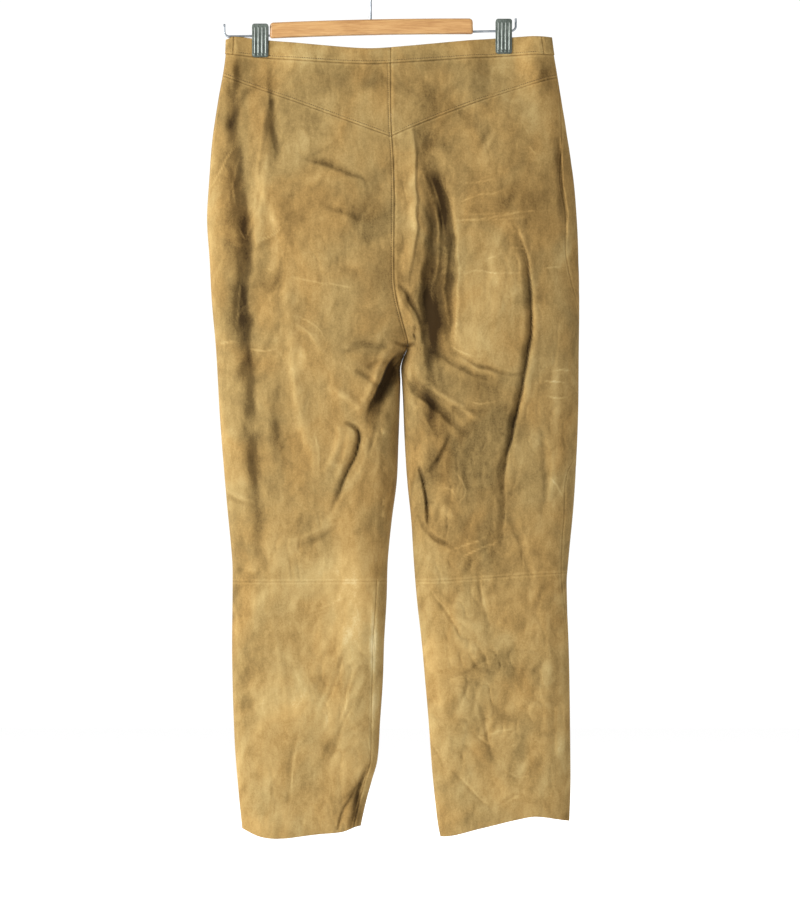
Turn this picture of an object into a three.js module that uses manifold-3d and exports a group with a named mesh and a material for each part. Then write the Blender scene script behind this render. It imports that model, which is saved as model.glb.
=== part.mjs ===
// Long suede leather trousers, hung by the waistband from a wooden clip hanger.
// Millimetres, +Z up. The origin is the inside top of the hanger's hook, where a rail carries it.
// The back of the trousers faces -Y. "left" is the half at -X, the wearer's left, and "right" is at +X.
// A drop is a distance below the rail, and an x is a distance beside the hook.
import * as THREE from 'three';
import Module from 'manifold-3d';
import { mergeVertices } from 'three/addons/utils/BufferGeometryUtils.js';

const wasm = await Module();
wasm.setup();

// Driving sizes
const leather = 1.2;
const bandLeather = 2.4;
const bandProud = 0.8;
const seamGap = 0.3;
const crotchDrop = 489.5;
const seatStartDrop = 378;
const backRiseX = 26;
const clipWidth = 21;
const wireRadius = 1.5;
const hookInside = 20;
const hookWireRadius = 2;
const barWidth = 260;
const barX = 1.4;
const barHeight = 20;
const barDepth = 11;

// How many steps each stretch of a panel has
const yokeRows = 4;
const seatRows = 14;
const thighRows = 16;
const shinRows = 17;
const backColumns = 16;
const frontColumns = 13;
const backShinColumns = 13;
const frontShinColumns = 11;

// Turns rows of numbers under named columns into objects.
function table(columns, ...rows) {
  return rows.map((row) => Object.fromEntries(columns.map((name, i) => [name, row[i]])));
}

// Reads a column at a place along the table's first column, on a smooth curve through its rows.
function read(rows, column, place) {
  const key = Object.keys(rows[0])[0];
  const last = rows.length - 1;
  if (place <= rows[0][key]) return rows[0][column];
  if (place >= rows[last][key]) return rows[last][column];
  let i = 0;
  while (rows[i + 1][key] < place) i += 1;
  const slope = (at) => {
    const before = rows[Math.max(0, at - 1)];
    const after = rows[Math.min(last, at + 1)];
    return (after[column] - before[column]) / (after[key] - before[key]);
  };
  const span = rows[i + 1][key] - rows[i][key];
  const t = (place - rows[i][key]) / span;
  const bend = t * t * (3 - 2 * t);
  const start = t * (1 - t) * (1 - t) * span * slope(i);
  const end = t * t * (t - 1) * span * slope(i + 1);
  return THREE.MathUtils.lerp(rows[i][column], rows[i + 1][column], bend) + start + end;
}

// Outer edges of the garment, how far the back and the front stand off its middle, and the width in
// which an outer edge turns from one to the other.
const outline = table(
  ['drop', 'left', 'right', 'back', 'front', 'turn'],
  [88, -184.5, 231.5, 8, 8, 18],
  [111, -185.5, 234.6, 11, 10, 28],
  [131, -188, 238, 15, 13, 45],
  [170, -195, 244.4, 24, 18, 80],
  [221, -202.5, 252.7, 32, 22, 115],
  [272, -206.5, 260, 38, 25, 135],
  [323, -209.3, 264.4, 42, 27, 145],
  [374, -206, 266.4, 43.5, 28, 150],
  [426, -203.3, 267.3, 43, 28.5, 145],
  [490, -197.7, 266.7, 40, 29, 125],
  [579, -192.6, 265.6, 36, 28, 95],
  [681, -184.4, 260.4, 31, 26, 75],
  [758, -177.3, 253.2, 27, 24.5, 62],
  [790, -176.8, 251.1, 26, 24, 60],
  [886, -177.3, 254.1, 24, 22, 55],
  [989, -174, 255.7, 22, 21, 50],
  [1053, -169, 256, 20.5, 20, 47],
  [1112, -163, 254, 19, 18, 45],
);

// Inner edges of the two legs, the width in which they turn, and how far each leg hangs back or forward.
const legs = table(
  ['drop', 'left', 'right', 'turn', 'leftSway', 'rightSway'],
  [489.5, 46.2, 46.8, 62, 0, 0],
  [500, 41.4, 42.2, 61, 0, 0],
  [511, 38.2, 39.3, 60, 0, 0],
  [528, 38.4, 40, 58, 0, 0],
  [553.5, 37.8, 41.5, 56, 1, -1],
  [605, 36, 43.6, 53, 2, -2],
  [656, 33.9, 46.8, 50, 3, -4],
  [707, 27.4, 52, 48, 4, -5],
  [758, 22.4, 55.2, 46, 5, -6],
  [809.5, 20.7, 59.4, 45, 5, -6],
  [861, 17.7, 65.2, 44, 4, -5],
  [912, 16, 69.8, 43, 3, -3],
  [963, 12.5, 74.2, 42, 1, -1],
  [1014, 9, 77.8, 41, -1, 1],
  [1040, 1.9, 80, 40, -2, 2],
  [1065.5, -5.1, 82.6, 40, -3, 3],
  [1097.5, -12.2, 86.4, 40, -4, 4],
  [1112, -14, 89.3, 40, -4, 4],
);

// The rise seam between the two halves, from the waist to the crotch
const rise = table(
  ['drop', 'x'],
  [88, backRiseX],
  [157, backRiseX],
  [208, 27.1],
  [246, 29.6],
  [298, 30.8],
  [400, 30.6],
  [426, 34],
  [451, 40.3],
  [474, 46.5],
  [482, 47.8],
  [crotchDrop, 46.5],
);

// How far round the edge each long seam lies on the back, in mm of cloth
const seams = table(
  ['drop', 'leftSide', 'rightSide'],
  [88, 3, 2],
  [140, 3, 2],
  [170, 3, 7],
  [221, 4, 13],
  [272, 4, 19.3],
  [313, 2, 17.6],
  [364, 0, 18.4],
  [400, 0, 15.2],
  [423, 0, 10.5],
  [460, 0, 1],
  [610, 0, 1],
  [645, 0, 14.8],
  [707, 0, 15.2],
  [765, 0, 13.4],
  [830, 0, 8],
  [900, 0, 0],
  [1112, 0, 0],
);
const bandSeams = { left: 14, right: 16 };
const inseams = table(
  ['drop', 'left', 'right'],
  [489.5, 0, 0],
  [503, 8, 4],
  [520, 16, 9],
  [541, 22, 16],
  [566, 22.6, 19.3],
  [592, 21.4, 18.2],
  [617, 20.3, 16.7],
  [650, 19.2, 13.9],
  [690, 17, 5],
  [739, 15.3, 0],
  [797, 16.4, 0],
  [912, 16.4, 0],
  [1021, 13.4, 0],
  [1112, 13.4, 0],
);

// Edges and cross seams, as drops beside the hook
const waist = table(
  ['x', 'top', 'bottom'],
  [-188, 92.5, 110.5],
  [-182.5, 92, 110.9],
  [-176, 88.8, 111.6],
  [-129, 93.5, 116.4],
  [-52, 100.8, 122],
  [0, 104, 124],
  [51, 100.5, 121.5],
  [128, 93.5, 116.3],
  [204, 88.3, 111.9],
  [236, 89.8, 111.9],
);
const hem = table(
  ['x', 'drop'],
  [-164, 1101],
  [-141, 1111],
  [-116, 1113.5],
  [-65, 1107.7],
  [-36, 1105],
  [-12, 1098],
  [89, 1112],
  [140, 1101.3],
  [191, 1089],
  [213, 1086],
  [254, 1092],
);
const yokeDrop = { left: 138.8, right: 140.7, centre: 218, leftBow: 0, rightBow: 4.7 };
const kneeDrop = { left: 785.8, right: 774.6, inner: 785 };

// Largest folds. Each runs through three points, with a half width on either side of its line and a
// height at each point: a ridge is above nought and a trough below it.
const foldColumns = ['x1', 'd1', 'x2', 'd2', 'x3', 'd3', 'near', 'far', 'h1', 'h2', 'h3'];
const backFolds = table(
  foldColumns,
  [-179, 150, -179, 189, -181, 221, 10, 10, -3, -4, -2],
  [-163, 233, -158, 330, -161, 451, 18, 16, -2, -5, -3],
  [-161, 451, -149, 617, -139, 797, 18, 16, -3, -4, -3],
  [-127, 176, -123, 208, -122, 253, 15, 15, -3, -4, -2],
  [-111, 349, -99, 502, -70, 643, 17, 17, 2, 5, 3],
  [-81, 246, -45, 259, -11, 274, 15, 15, -1, -3, -2],
  [30, 502, 15, 527, 0, 572, 10, 18, -6, -11, -5],
  [-48, 539, -30, 551, -12, 564, 15, 15, 2, 4, 3],
  [-18, 579, -17, 617, -47, 692, 14, 14, -6, -8, -3],
  [-100, 733, -72, 722, -45, 713, 15, 15, 2, 3, 2],
  [-186, 667, -167, 678, -139, 690, 12, 12, -3, -4, -2],
  [68, 214, 79, 272, 84, 323, 20, 22, -3, -9, -13],
  [84, 323, 78, 400, 75, 470, 26, 22, -13, -15, -12],
  [75, 470, 74, 500, 73, 530, 22, 18, -12, -7, -2],
  [108, 338, 104, 413, 104, 483, 14, 17, -3, -6, -5],
  [187, 349, 206, 445, 187, 566, 20, 12, -4, -7, -6],
  [187, 566, 170, 650, 166, 733, 14, 18, -6, -8, -4],
  [240, 240, 239, 270, 246, 317, 14, 14, -3, -4, -3],
  [56, 512, 89, 547, 134, 579, 15, 15, 3, 5, 2],
  [52, 538, 79, 562, 111, 588, 13, 13, -6, -7, -3],
  [100, 602, 91, 620, 77, 642, 13, 13, -3, -5, -2],
  [65, 640, 71, 678, 74, 713, 12, 12, -4, -6, -5],
  [74, 720, 89, 734, 108, 743, 12, 12, -4, -4, -2],
  [85, 492, 117, 518, 159, 528, 13, 13, -3, -4, -2],
  [180, 707, 194, 745, 202, 777, 13, 13, -3, -4, -2],
  [79, 802, 104, 838, 127, 857, 13, 13, -3, -4, -2],
  [138, 777, 143, 806, 149, 835, 12, 12, -2, -4, -2],
  [138, 937, 149, 982, 166, 1030, 15, 15, -3, -5, -2],
  [108, 1030, 134, 1057, 153, 1076, 13, 13, -3, -4, -2],
  [95, 914, 117, 904, 143, 900, 12, 12, -2, -3, -2],
  [185, 861, 194, 902, 189, 944, 17, 17, -2, -4, -2],
  [-30, 876, -47, 918, -57, 953, 15, 15, -2, -4, -2],
  [-25, 940, -42, 989, -53, 1017, 13, 13, -2, -4, -2],
  [-6, 1027, -20, 1059, -24, 1094, 12, 12, -3, -5, -4],
);
const frontFolds = table(
  foldColumns,
  [-20, 440, -60, 415, -110, 400, 18, 18, -3, -5, -1],
  [72, 442, 112, 420, 160, 408, 18, 18, -3, -5, -1],
  [-30, 480, -70, 470, -120, 474, 16, 20, -3, -4, -1],
  [86, 485, 130, 474, 190, 480, 16, 20, -3, -4, -1],
  [-140, 210, -134, 330, -120, 430, 22, 22, -1, -4, -2],
  [196, 220, 190, 330, 172, 440, 22, 22, -1, -5, -2],
  [-70, 520, -84, 620, -92, 740, 24, 24, 2, 5, 3],
  [150, 530, 152, 640, 150, 740, 24, 24, 2, 5, 3],
  [-150, 740, -100, 762, -40, 748, 16, 16, -1, -4, -2],
  [80, 745, 130, 760, 200, 742, 16, 16, -1, -4, -2],
  [-148, 830, -96, 842, -30, 826, 16, 16, -1, -4, -2],
  [90, 828, 150, 846, 220, 830, 16, 16, -1, -4, -2],
  [-60, 880, -84, 960, -110, 1040, 18, 18, -2, -4, -2],
  [150, 890, 170, 960, 196, 1040, 18, 18, -2, -4, -2],
);

// A fold's line is a curve through its three points, cut into short straight steps.
const foldSteps = 8;
function foldLine(fold) {
  const line = [];
  for (let i = 0; i <= foldSteps; i += 1) {
    const t = i / foldSteps;
    const first = (1 - t) * (1 - 2 * t);
    const middle = 4 * t * (1 - t);
    const last = t * (2 * t - 1);
    line.push({
      x: first * fold.x1 + middle * fold.x2 + last * fold.x3,
      drop: first * fold.d1 + middle * fold.d2 + last * fold.d3,
      height: first * fold.h1 + middle * fold.h2 + last * fold.h3,
    });
  }
  return { line, near: fold.near, far: fold.far };
}
const folds = { back: backFolds.map(foldLine), front: frontFolds.map(foldLine) };

// Height of all folds together at one place on a face, each fading to nothing across its width.
function foldHeight(face, x, drop) {
  let total = 0;
  for (const { line, near, far } of folds[face]) {
    let best = { distance: Infinity, height: 0, wide: near };
    for (let i = 0; i < foldSteps; i += 1) {
      const stepX = line[i + 1].x - line[i].x;
      const stepDrop = line[i + 1].drop - line[i].drop;
      const offX = x - line[i].x;
      const offDrop = drop - line[i].drop;
      const share = (offX * stepX + offDrop * stepDrop) / (stepX ** 2 + stepDrop ** 2);
      const t = THREE.MathUtils.clamp(share, 0, 1);
      const distance = Math.hypot(offX - t * stepX, offDrop - t * stepDrop);
      if (distance < best.distance) {
        const height = THREE.MathUtils.lerp(line[i].height, line[i + 1].height, t);
        const side = offX * stepDrop - offDrop * stepX;
        best = { distance, height, wide: side < 0 ? near : far };
      }
    }
    if (best.distance < best.wide) {
      total += best.height * Math.cos((Math.PI / 2) * (best.distance / best.wide)) ** 2;
    }
  }
  return total;
}

// The two clips, on their wires either side of the bar
const clips = {
  left: { x: -141, wireDrop: 87.4, reach: 27.6 },
  right: { x: 170.6, wireDrop: 81.2, reach: 29.4 },
};
const clipFlat = clipWidth / 2 + 2.5;
const clipFade = 34;
const clipFlatDrop = 118;
const clipFadeDrop = 193;
const pinchedDepth = 0.35 + bandLeather - bandProud;

// How firmly the clips press front and back together at one place, from 0 to 1.
function pinch(x, drop) {
  const down = THREE.MathUtils.smoothstep(drop, clipFlatDrop, clipFadeDrop);
  const beside = Object.values(clips).map((clip) => {
    return THREE.MathUtils.smoothstep(Math.abs(x - clip.x), clipFlat, clipFlat + clipFade);
  });
  return (1 - down) * (1 - Math.min(...beside));
}

// Folds have their full height where the cloth stands this far off the garment's middle.
const foldFullDepth = 18;

function outerX(side, drop) {
  return read(outline, side, drop);
}

function innerX(side, drop) {
  if (drop > crotchDrop) return read(legs, side, drop);
  const share = side === 'left' ? -1 : 1;
  return read(rise, 'x', drop) + (share * seamGap) / 2;
}

// Share of the full depth at a distance from an edge that turns within a width, squared.
function turned(distance, width) {
  const t = Math.min(1, Math.max(0, distance) / width);
  return 2 * t - t * t;
}

// A point on the outside of one half of the garment. "way" runs round it: 0 is the outer edge, 0 to 1
// the back, 1 the inner edge or the rise seam, and 1 to 2 the front, back to the outer edge. "start"
// is the face meant at the rise seam itself, where the two faces stand apart.
function clothPoint(side, way, drop, start = 'back') {
  const turn = ((way % 2) + 2) % 2;
  const atSeam = Math.abs(turn - 1) < 1e-9;
  const face = turn < 1 || (atSeam && start === 'back') ? 'back' : 'front';
  const share = (1 - Math.cos(Math.PI * turn)) / 2;
  const outer = outerX(side, drop);
  const inner = innerX(side, drop);
  const x = outer + (inner - outer) * share;
  const fromOuter = Math.abs(inner - outer) * share;
  const fromInner = Math.abs(inner - outer) * (1 - share);
  const split = THREE.MathUtils.clamp((drop - seatStartDrop) / (crotchDrop - seatStartDrop), 0, 1) ** 2;
  const parted = 1 - split + split * turned(fromInner, read(legs, 'turn', drop));
  const depth = Math.sqrt(turned(fromOuter, read(outline, 'turn', drop)) * parted);
  const full = depth * read(outline, face, drop);
  const pressed = THREE.MathUtils.lerp(full, Math.min(full, pinchedDepth), pinch(x, drop));
  const fold = foldHeight(face, x, drop) * Math.min(1, pressed / foldFullDepth);
  const sway = drop > crotchDrop ? read(legs, `${side}Sway`, drop) : 0;
  const y = face === 'back' ? -(pressed + fold) : pressed + fold;
  return new THREE.Vector3(x, sway + y, -drop);
}

// The direction out of the cloth at a point, worked out within the part of the ring that its panel covers.
function clothNormal(side, way, drop, face) {
  const step = 0.008;
  const dropStep = 0.6;
  const joined = drop < crotchDrop;
  const low = joined && face === 'front' ? Math.max(1, way - step) : way - step;
  const high = joined && face === 'back' ? Math.min(1, way + step) : way + step;
  const round = clothPoint(side, high, drop, face).sub(clothPoint(side, low, drop, face));
  const above = clothPoint(side, way, drop - dropStep, face);
  const rising = above.sub(clothPoint(side, way, drop + dropStep, face));
  const normal = round.cross(rising).normalize();
  return side === 'left' ? normal : normal.negate();
}

// Cloth length per unit of way, for a gap of a set width beside a seam.
function wayGap(side, way, drop) {
  const step = 0.004;
  const inward = way > 0.5 && way <= 1 ? -step : step;
  const length = clothPoint(side, way + inward, drop).distanceTo(clothPoint(side, way, drop));
  return (seamGap / 2) * (step / length);
}

// Where a place so far round the edge lies on the ring. The edge's round has a radius of about 10 mm.
const edgeRadius = 10;
function wayRound(side, drop, arc) {
  const width = Math.abs(innerX(side, drop) - outerX(side, drop));
  return Math.acos(1 - (arc * arc) / edgeRadius / width) / Math.PI;
}
function sideSeam(side, drop) {
  return wayRound(side, drop, read(seams, `${side}Side`, drop));
}
function bandSideSeam(side, drop) {
  return wayRound(side, drop, bandSeams[side]);
}
function inseam(side, drop) {
  return drop <= crotchDrop ? 1 : 1 - wayRound(side, drop, read(inseams, side, drop));
}
function wayAt(side, x, drop) {
  const outer = outerX(side, drop);
  const share = THREE.MathUtils.clamp((x - outer) / (innerX(side, drop) - outer), 0, 1);
  return Math.acos(1 - 2 * share) / Math.PI;
}

// Cross seams and edges, as drops at an x
function yokeSeam(side, x) {
  const outer = outerX(side, yokeDrop[side]);
  const t = THREE.MathUtils.clamp((x - outer) / (backRiseX - outer), 0, 1);
  const bow = yokeDrop[`${side}Bow`] * 4 * t * (1 - t);
  return THREE.MathUtils.lerp(yokeDrop[side], yokeDrop.centre, t) - bow;
}
function kneeSeam(side, x) {
  const outer = outerX(side, kneeDrop.inner);
  const inner = innerX(side, kneeDrop.inner);
  const t = THREE.MathUtils.clamp((x - outer) / (inner - outer), 0, 1);
  return THREE.MathUtils.lerp(kneeDrop[side], kneeDrop.inner, THREE.MathUtils.smoothstep(t, 0, 1));
}
const bandTop = (side, x) => read(waist, 'top', x);
const bandBottom = (side, x) => read(waist, 'bottom', x);
const hemEdge = (side, x) => read(hem, 'drop', x);

// Drop of a cross seam where a given way meets it, found by settling on it in a few steps.
function dropOn(seam, side, way, start) {
  let drop = start;
  for (let i = 0; i < 4; i += 1) drop = seam(side, clothPoint(side, way(drop), drop).x);
  return drop;
}

// Even steps from one value to another, closer together towards the end when ease is above 1.
function steps(from, to, count, ease = 1) {
  const values = [];
  for (let i = 0; i <= count; i += 1) {
    const t = 1 - (1 - i / count) ** ease;
    values.push(THREE.MathUtils.lerp(from, to, t));
  }
  return values;
}

// A closed wall from a grid of rows of points on its outside, with the direction out at each.
function wall(grid, out, proud, thick, flip) {
  const rows = grid.length;
  const columns = grid[0].length;
  const positions = [];
  for (const depth of [proud, proud - thick]) {
    grid.forEach((row, j) => {
      row.forEach((point, i) => {
        positions.push(...point.clone().addScaledVector(out[j][i], depth).toArray());
      });
    });
  }
  const triangles = [];
  const quad = (a, b, c, d) => {
    if (flip) triangles.push(a, c, b, a, d, c);
    else triangles.push(a, b, c, a, c, d);
  };
  const inside = rows * columns;
  const at = (j, i) => j * columns + i;
  for (let j = 0; j + 1 < rows; j += 1) {
    for (let i = 0; i + 1 < columns; i += 1) {
      quad(at(j, i), at(j + 1, i), at(j + 1, i + 1), at(j, i + 1));
      quad(
        inside + at(j, i),
        inside + at(j, i + 1),
        inside + at(j + 1, i + 1),
        inside + at(j + 1, i),
      );
    }
  }
  const rim = (a, b) => quad(a, b, inside + b, inside + a);
  for (let i = 0; i + 1 < columns; i += 1) {
    rim(at(0, i), at(0, i + 1));
    rim(at(rows - 1, i + 1), at(rows - 1, i));
  }
  for (let j = 0; j + 1 < rows; j += 1) {
    rim(at(j + 1, 0), at(j, 0));
    rim(at(j, columns - 1), at(j + 1, columns - 1));
  }
  const geometry = new THREE.BufferGeometry();
  geometry.setAttribute('position', new THREE.Float32BufferAttribute(positions, 3));
  geometry.setIndex(triangles);
  return geometry;
}

// A panel between two ways round the ring and two cross seams. "starts" and "ends" are the drops of
// its rows along those two ways, and "across" spreads its columns.
function panel({ side, face, from, to, starts, ends, top, bottom, across, columns, proud, thick }) {
  const last = starts.length - 1;
  const guess = (j, u) => THREE.MathUtils.lerp(starts[j], ends[j], u);
  const spread = columns.map((u) => {
    const upper = dropOn(top, side, (drop) => across(from(drop), to(drop), u), guess(0, u));
    const lower = dropOn(bottom, side, (drop) => across(from(drop), to(drop), u), guess(last, u));
    return { u, upper: upper - guess(0, u), lower: lower - guess(last, u) };
  });
  const grid = [];
  const out = [];
  for (let j = 0; j <= last; j += 1) {
    const share = (guess(j, 0.5) - guess(0, 0.5)) / (guess(last, 0.5) - guess(0, 0.5));
    const trim = j === 0 ? seamGap / 2 : j === last ? -seamGap / 2 : 0;
    const points = [];
    const normals = [];
    for (const { u, upper, lower } of spread) {
      const drop = guess(j, u) + upper * (1 - share) + lower * share + trim;
      const way = across(from(drop), to(drop), u);
      points.push(clothPoint(side, way, drop, face));
      normals.push(clothNormal(side, way, drop, face));
    }
    grid.push(points);
    out.push(normals);
  }
  return wall(grid, out, proud, thick, side === 'right');
}

// Columns evenly spread in width, for a panel that stays on the back.
function evenInWidth(from, to, u) {
  const shareOf = (way) => (1 - Math.cos(Math.PI * way)) / 2;
  return Math.acos(1 - 2 * THREE.MathUtils.lerp(shareOf(from), shareOf(to), u)) / Math.PI;
}

// The limits of the panels on the ring, with half a seam gap off each
const afterSide = (side, seam = sideSeam) => (drop) => {
  const way = seam(side, drop);
  return way + wayGap(side, way, drop);
};
const beforeSide = (side, seam = sideSeam) => (drop) => {
  const way = seam(side, drop);
  return 2 + way - wayGap(side, way, drop);
};
const inseamGap = (side, way, drop) => {
  const widening = 1 - THREE.MathUtils.smoothstep(drop, crotchDrop + 40, crotchDrop + 90);
  return wayGap(side, way, drop) * (1 + 2.6 * widening);
};
const beforeInseam = (side) => (drop) => {
  const way = inseam(side, drop);
  return drop < crotchDrop ? 1 : way - inseamGap(side, way, drop);
};
const afterInseam = (side) => (drop) => {
  const way = inseam(side, drop);
  return drop < crotchDrop ? 1 : way + inseamGap(side, way, drop);
};

// Colours and finish
const suede = { color: 0x9a7350, roughness: 0.95, metalness: 0 };
const wood = { color: 0xd8b98c, roughness: 0.55, metalness: 0 };
const steel = { color: 0xc4c6c8, roughness: 0.3, metalness: 1 };
const horn = { color: 0x5a4230, roughness: 0.5, metalness: 0 };

const group = new THREE.Group();
function add(name, geometry, finish, place = new THREE.Vector3()) {
  const mesh = new THREE.Mesh(geometry, new THREE.MeshStandardMaterial(finish));
  mesh.name = name;
  mesh.position.copy(place);
  group.add(mesh);
  return mesh;
}

// Row drops that neighbouring panels share along a side seam and along the rise and inseam
function rowsOf(side) {
  const sideTop = bandBottom(side, outerX(side, 111));
  const riseTop = bandBottom(side, backRiseX);
  const lowerRows = seatRows + thighRows;
  const yokeSide = steps(sideTop, yokeDrop[side], yokeRows);
  const upperSide = steps(yokeDrop[side], kneeDrop[side], lowerRows);
  const legInner = steps(crotchDrop, kneeDrop.inner, thighRows).slice(1);
  const ease = 1.35;
  return {
    yokeSide,
    yokeRise: steps(riseTop, yokeDrop.centre, yokeRows),
    upperSide,
    backInner: [...steps(yokeDrop.centre, crotchDrop, seatRows, ease), ...legInner],
    frontSide: [...yokeSide, ...upperSide.slice(1)],
    frontInner: [...steps(riseTop, crotchDrop, yokeRows + seatRows, ease), ...legInner],
    shinSide: steps(kneeDrop[side], hemEdge(side, outerX(side, 1100)), shinRows),
    shinInner: steps(kneeDrop.inner, hemEdge(side, innerX(side, 1100)), shinRows),
  };
}

// Body panels
const lerpWay = (from, to, u) => THREE.MathUtils.lerp(from, to, u);
for (const side of ['left', 'right']) {
  const rows = rowsOf(side);
  const back = { side, face: 'back', proud: 0, thick: leather, across: evenInWidth };
  const front = { side, face: 'front', proud: 0, thick: leather, across: lerpWay };
  add(`back_yoke_${side}`, panel({
    ...back,
    from: afterSide(side),
    to: () => 1,
    starts: rows.yokeSide,
    ends: rows.yokeRise,
    top: bandBottom,
    bottom: yokeSeam,
    columns: steps(0, 1, backColumns),
  }), suede);
  add(`back_upper_${side}`, panel({
    ...back,
    from: afterSide(side),
    to: beforeInseam(side),
    starts: rows.upperSide,
    ends: rows.backInner,
    top: yokeSeam,
    bottom: kneeSeam,
    columns: steps(0, 1, backColumns),
  }), suede);
  add(`back_lower_${side}`, panel({
    ...back,
    from: afterSide(side),
    to: beforeInseam(side),
    starts: rows.shinSide,
    ends: rows.shinInner,
    top: kneeSeam,
    bottom: hemEdge,
    columns: steps(0, 1, backShinColumns),
  }), suede);
  add(`front_upper_${side}`, panel({
    ...front,
    from: afterInseam(side),
    to: beforeSide(side),
    starts: rows.frontInner,
    ends: rows.frontSide,
    top: bandBottom,
    bottom: kneeSeam,
    columns: steps(0, 1, frontColumns),
  }), suede);
  add(`front_lower_${side}`, panel({
    ...front,
    from: afterInseam(side),
    to: beforeSide(side),
    starts: rows.shinInner,
    ends: rows.shinSide,
    top: kneeSeam,
    bottom: hemEdge,
    columns: steps(0, 1, frontShinColumns),
  }), suede);
}

// Waistband, in four pieces, with a column at each edge of the clips so that they press on flat cloth
const bandMiddle = 100;
function throughClip(limits, counts) {
  const [from, to] = [limits[0], limits[limits.length - 1]];
  const ways = limits.slice(1).flatMap((limit, i) => steps(limits[i], limit, counts[i]).slice(1));
  return [from, ...ways].map((way) => (way - from) / (to - from));
}
for (const side of ['left', 'right']) {
  const clipWays = [-1, 1].map((end) => wayAt(side, clips[side].x + end * clipFlat, bandMiddle));
  clipWays.sort((a, b) => a - b);
  const seam = bandSideSeam(side, bandMiddle);
  const cornerDrops = {
    side: [bandTop(side, outerX(side, bandMiddle)), bandBottom(side, outerX(side, bandMiddle))],
    rise: [bandTop(side, backRiseX), bandBottom(side, backRiseX)],
  };
  const band = {
    side,
    proud: bandProud,
    thick: bandLeather,
    across: lerpWay,
    top: bandTop,
    bottom: bandBottom,
  };
  add(`waistband_back_${side}`, panel({
    ...band,
    face: 'back',
    from: afterSide(side, bandSideSeam),
    to: () => 1,
    starts: cornerDrops.side,
    ends: cornerDrops.rise,
    columns: throughClip([seam, ...clipWays, 1], [3, 2, 8]),
  }), suede);
  add(`waistband_front_${side}`, panel({
    ...band,
    face: 'front',
    from: () => 1,
    to: beforeSide(side, bandSideSeam),
    starts: cornerDrops.rise,
    ends: cornerDrops.side,
    columns: throughClip([1, 2 - clipWays[1], 2 - clipWays[0], 2 + seam], [8, 2, 6]),
  }), suede);
}

// Fly facing, which lies on the left front beside the rise seam and rounds off at its foot
const flyWidth = 38;
const flyFoot = 305;
const flyLeastWidth = 8;
const flyProud = seamGap + leather + 0.2;
const flyColumns = 5;
const flyRows = 9;
function flyFacing() {
  const grid = [];
  const out = [];
  const top = bandBottom('left', 0) + seamGap;
  for (const drop of steps(top, flyFoot, flyRows, 1.4)) {
    const round = THREE.MathUtils.clamp((drop - (flyFoot - flyWidth)) / flyWidth, 0, 1);
    const width = Math.max(flyLeastWidth, flyWidth * Math.sqrt(1 - round * round));
    const seam = innerX('left', drop);
    const ways = steps(1, 2 - wayAt('left', seam - width, drop), flyColumns);
    grid.push(ways.map((way) => clothPoint('left', way, drop, 'front')));
    out.push(ways.map((way) => clothNormal('left', way, drop, 'front')));
  }
  return wall(grid, out, flyProud, leather, false);
}
add('fly_facing', flyFacing(), suede);

// A round piece turned about an axis, from half its outline
function turnedPiece(outlinePoints, sides) {
  return new THREE.LatheGeometry(outlinePoints.map(([r, h]) => new THREE.Vector2(r, h)), sides);
}

// Waistband button, on the left front close to the rise seam
const buttonRadius = 8;
const buttonThick = 3;
const buttonFromSeam = 12;
const buttonWay = 2 - wayAt('left', backRiseX - buttonFromSeam, bandMiddle);
const buttonDrop = (bandTop('left', backRiseX) + bandBottom('left', backRiseX)) / 2;
const buttonSeat = clothPoint('left', buttonWay, buttonDrop);
const buttonOut = clothNormal('left', buttonWay, buttonDrop, 'front');
const button = add('waistband_button', turnedPiece([
  [0, 0],
  [buttonRadius - 1, 0],
  [buttonRadius, 1],
  [buttonRadius - 0.6, buttonThick],
  [buttonRadius - 2.4, buttonThick - 0.9],
  [0, buttonThick - 0.9],
], 24), horn, buttonSeat.addScaledVector(buttonOut, bandProud + 0.5));
button.quaternion.setFromUnitVectors(new THREE.Vector3(0, 1, 0), buttonOut);

// Solids for cutting and joining
function solid(geometry) {
  const bare = geometry.clone();
  bare.deleteAttribute('normal');
  bare.deleteAttribute('uv');
  const merged = mergeVertices(bare, 1e-4);
  return new wasm.Manifold(new wasm.Mesh({
    numProp: 3,
    vertProperties: new Float32Array(merged.attributes.position.array),
    triVerts: new Uint32Array(merged.index.array),
  }));
}
function geometryOf(manifold) {
  const mesh = manifold.getMesh();
  const geometry = new THREE.BufferGeometry();
  geometry.setAttribute('position', new THREE.BufferAttribute(mesh.vertProperties, 3));
  geometry.setIndex(new THREE.BufferAttribute(mesh.triVerts, 1));
  return geometry;
}

// A rod of round section along points in the X-Z plane, closed at both ends
function rod(points, radius, sides) {
  const positions = [];
  const triangles = [];
  points.forEach(([x, z], j) => {
    const before = points[Math.max(0, j - 1)];
    const after = points[Math.min(points.length - 1, j + 1)];
    const along = new THREE.Vector2(after[0] - before[0], after[1] - before[1]).normalize();
    for (let i = 0; i < sides; i += 1) {
      const angle = (2 * Math.PI * i) / sides;
      const across = radius * Math.cos(angle);
      positions.push(x - along.y * across, radius * Math.sin(angle), z + along.x * across);
    }
  });
  for (let j = 0; j + 1 < points.length; j += 1) {
    for (let i = 0; i < sides; i += 1) {
      const next = (i + 1) % sides;
      const a = j * sides + i;
      const b = j * sides + next;
      triangles.push(a, a + sides, b, b, a + sides, b + sides);
    }
  }
  const lastRing = (points.length - 1) * sides;
  for (let i = 1; i + 1 < sides; i += 1) {
    triangles.push(0, i, i + 1, lastRing, lastRing + i + 1, lastRing + i);
  }
  const geometry = new THREE.BufferGeometry();
  geometry.setAttribute('position', new THREE.Float32BufferAttribute(positions, 3));
  geometry.setIndex(triangles);
  return geometry;
}

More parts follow.
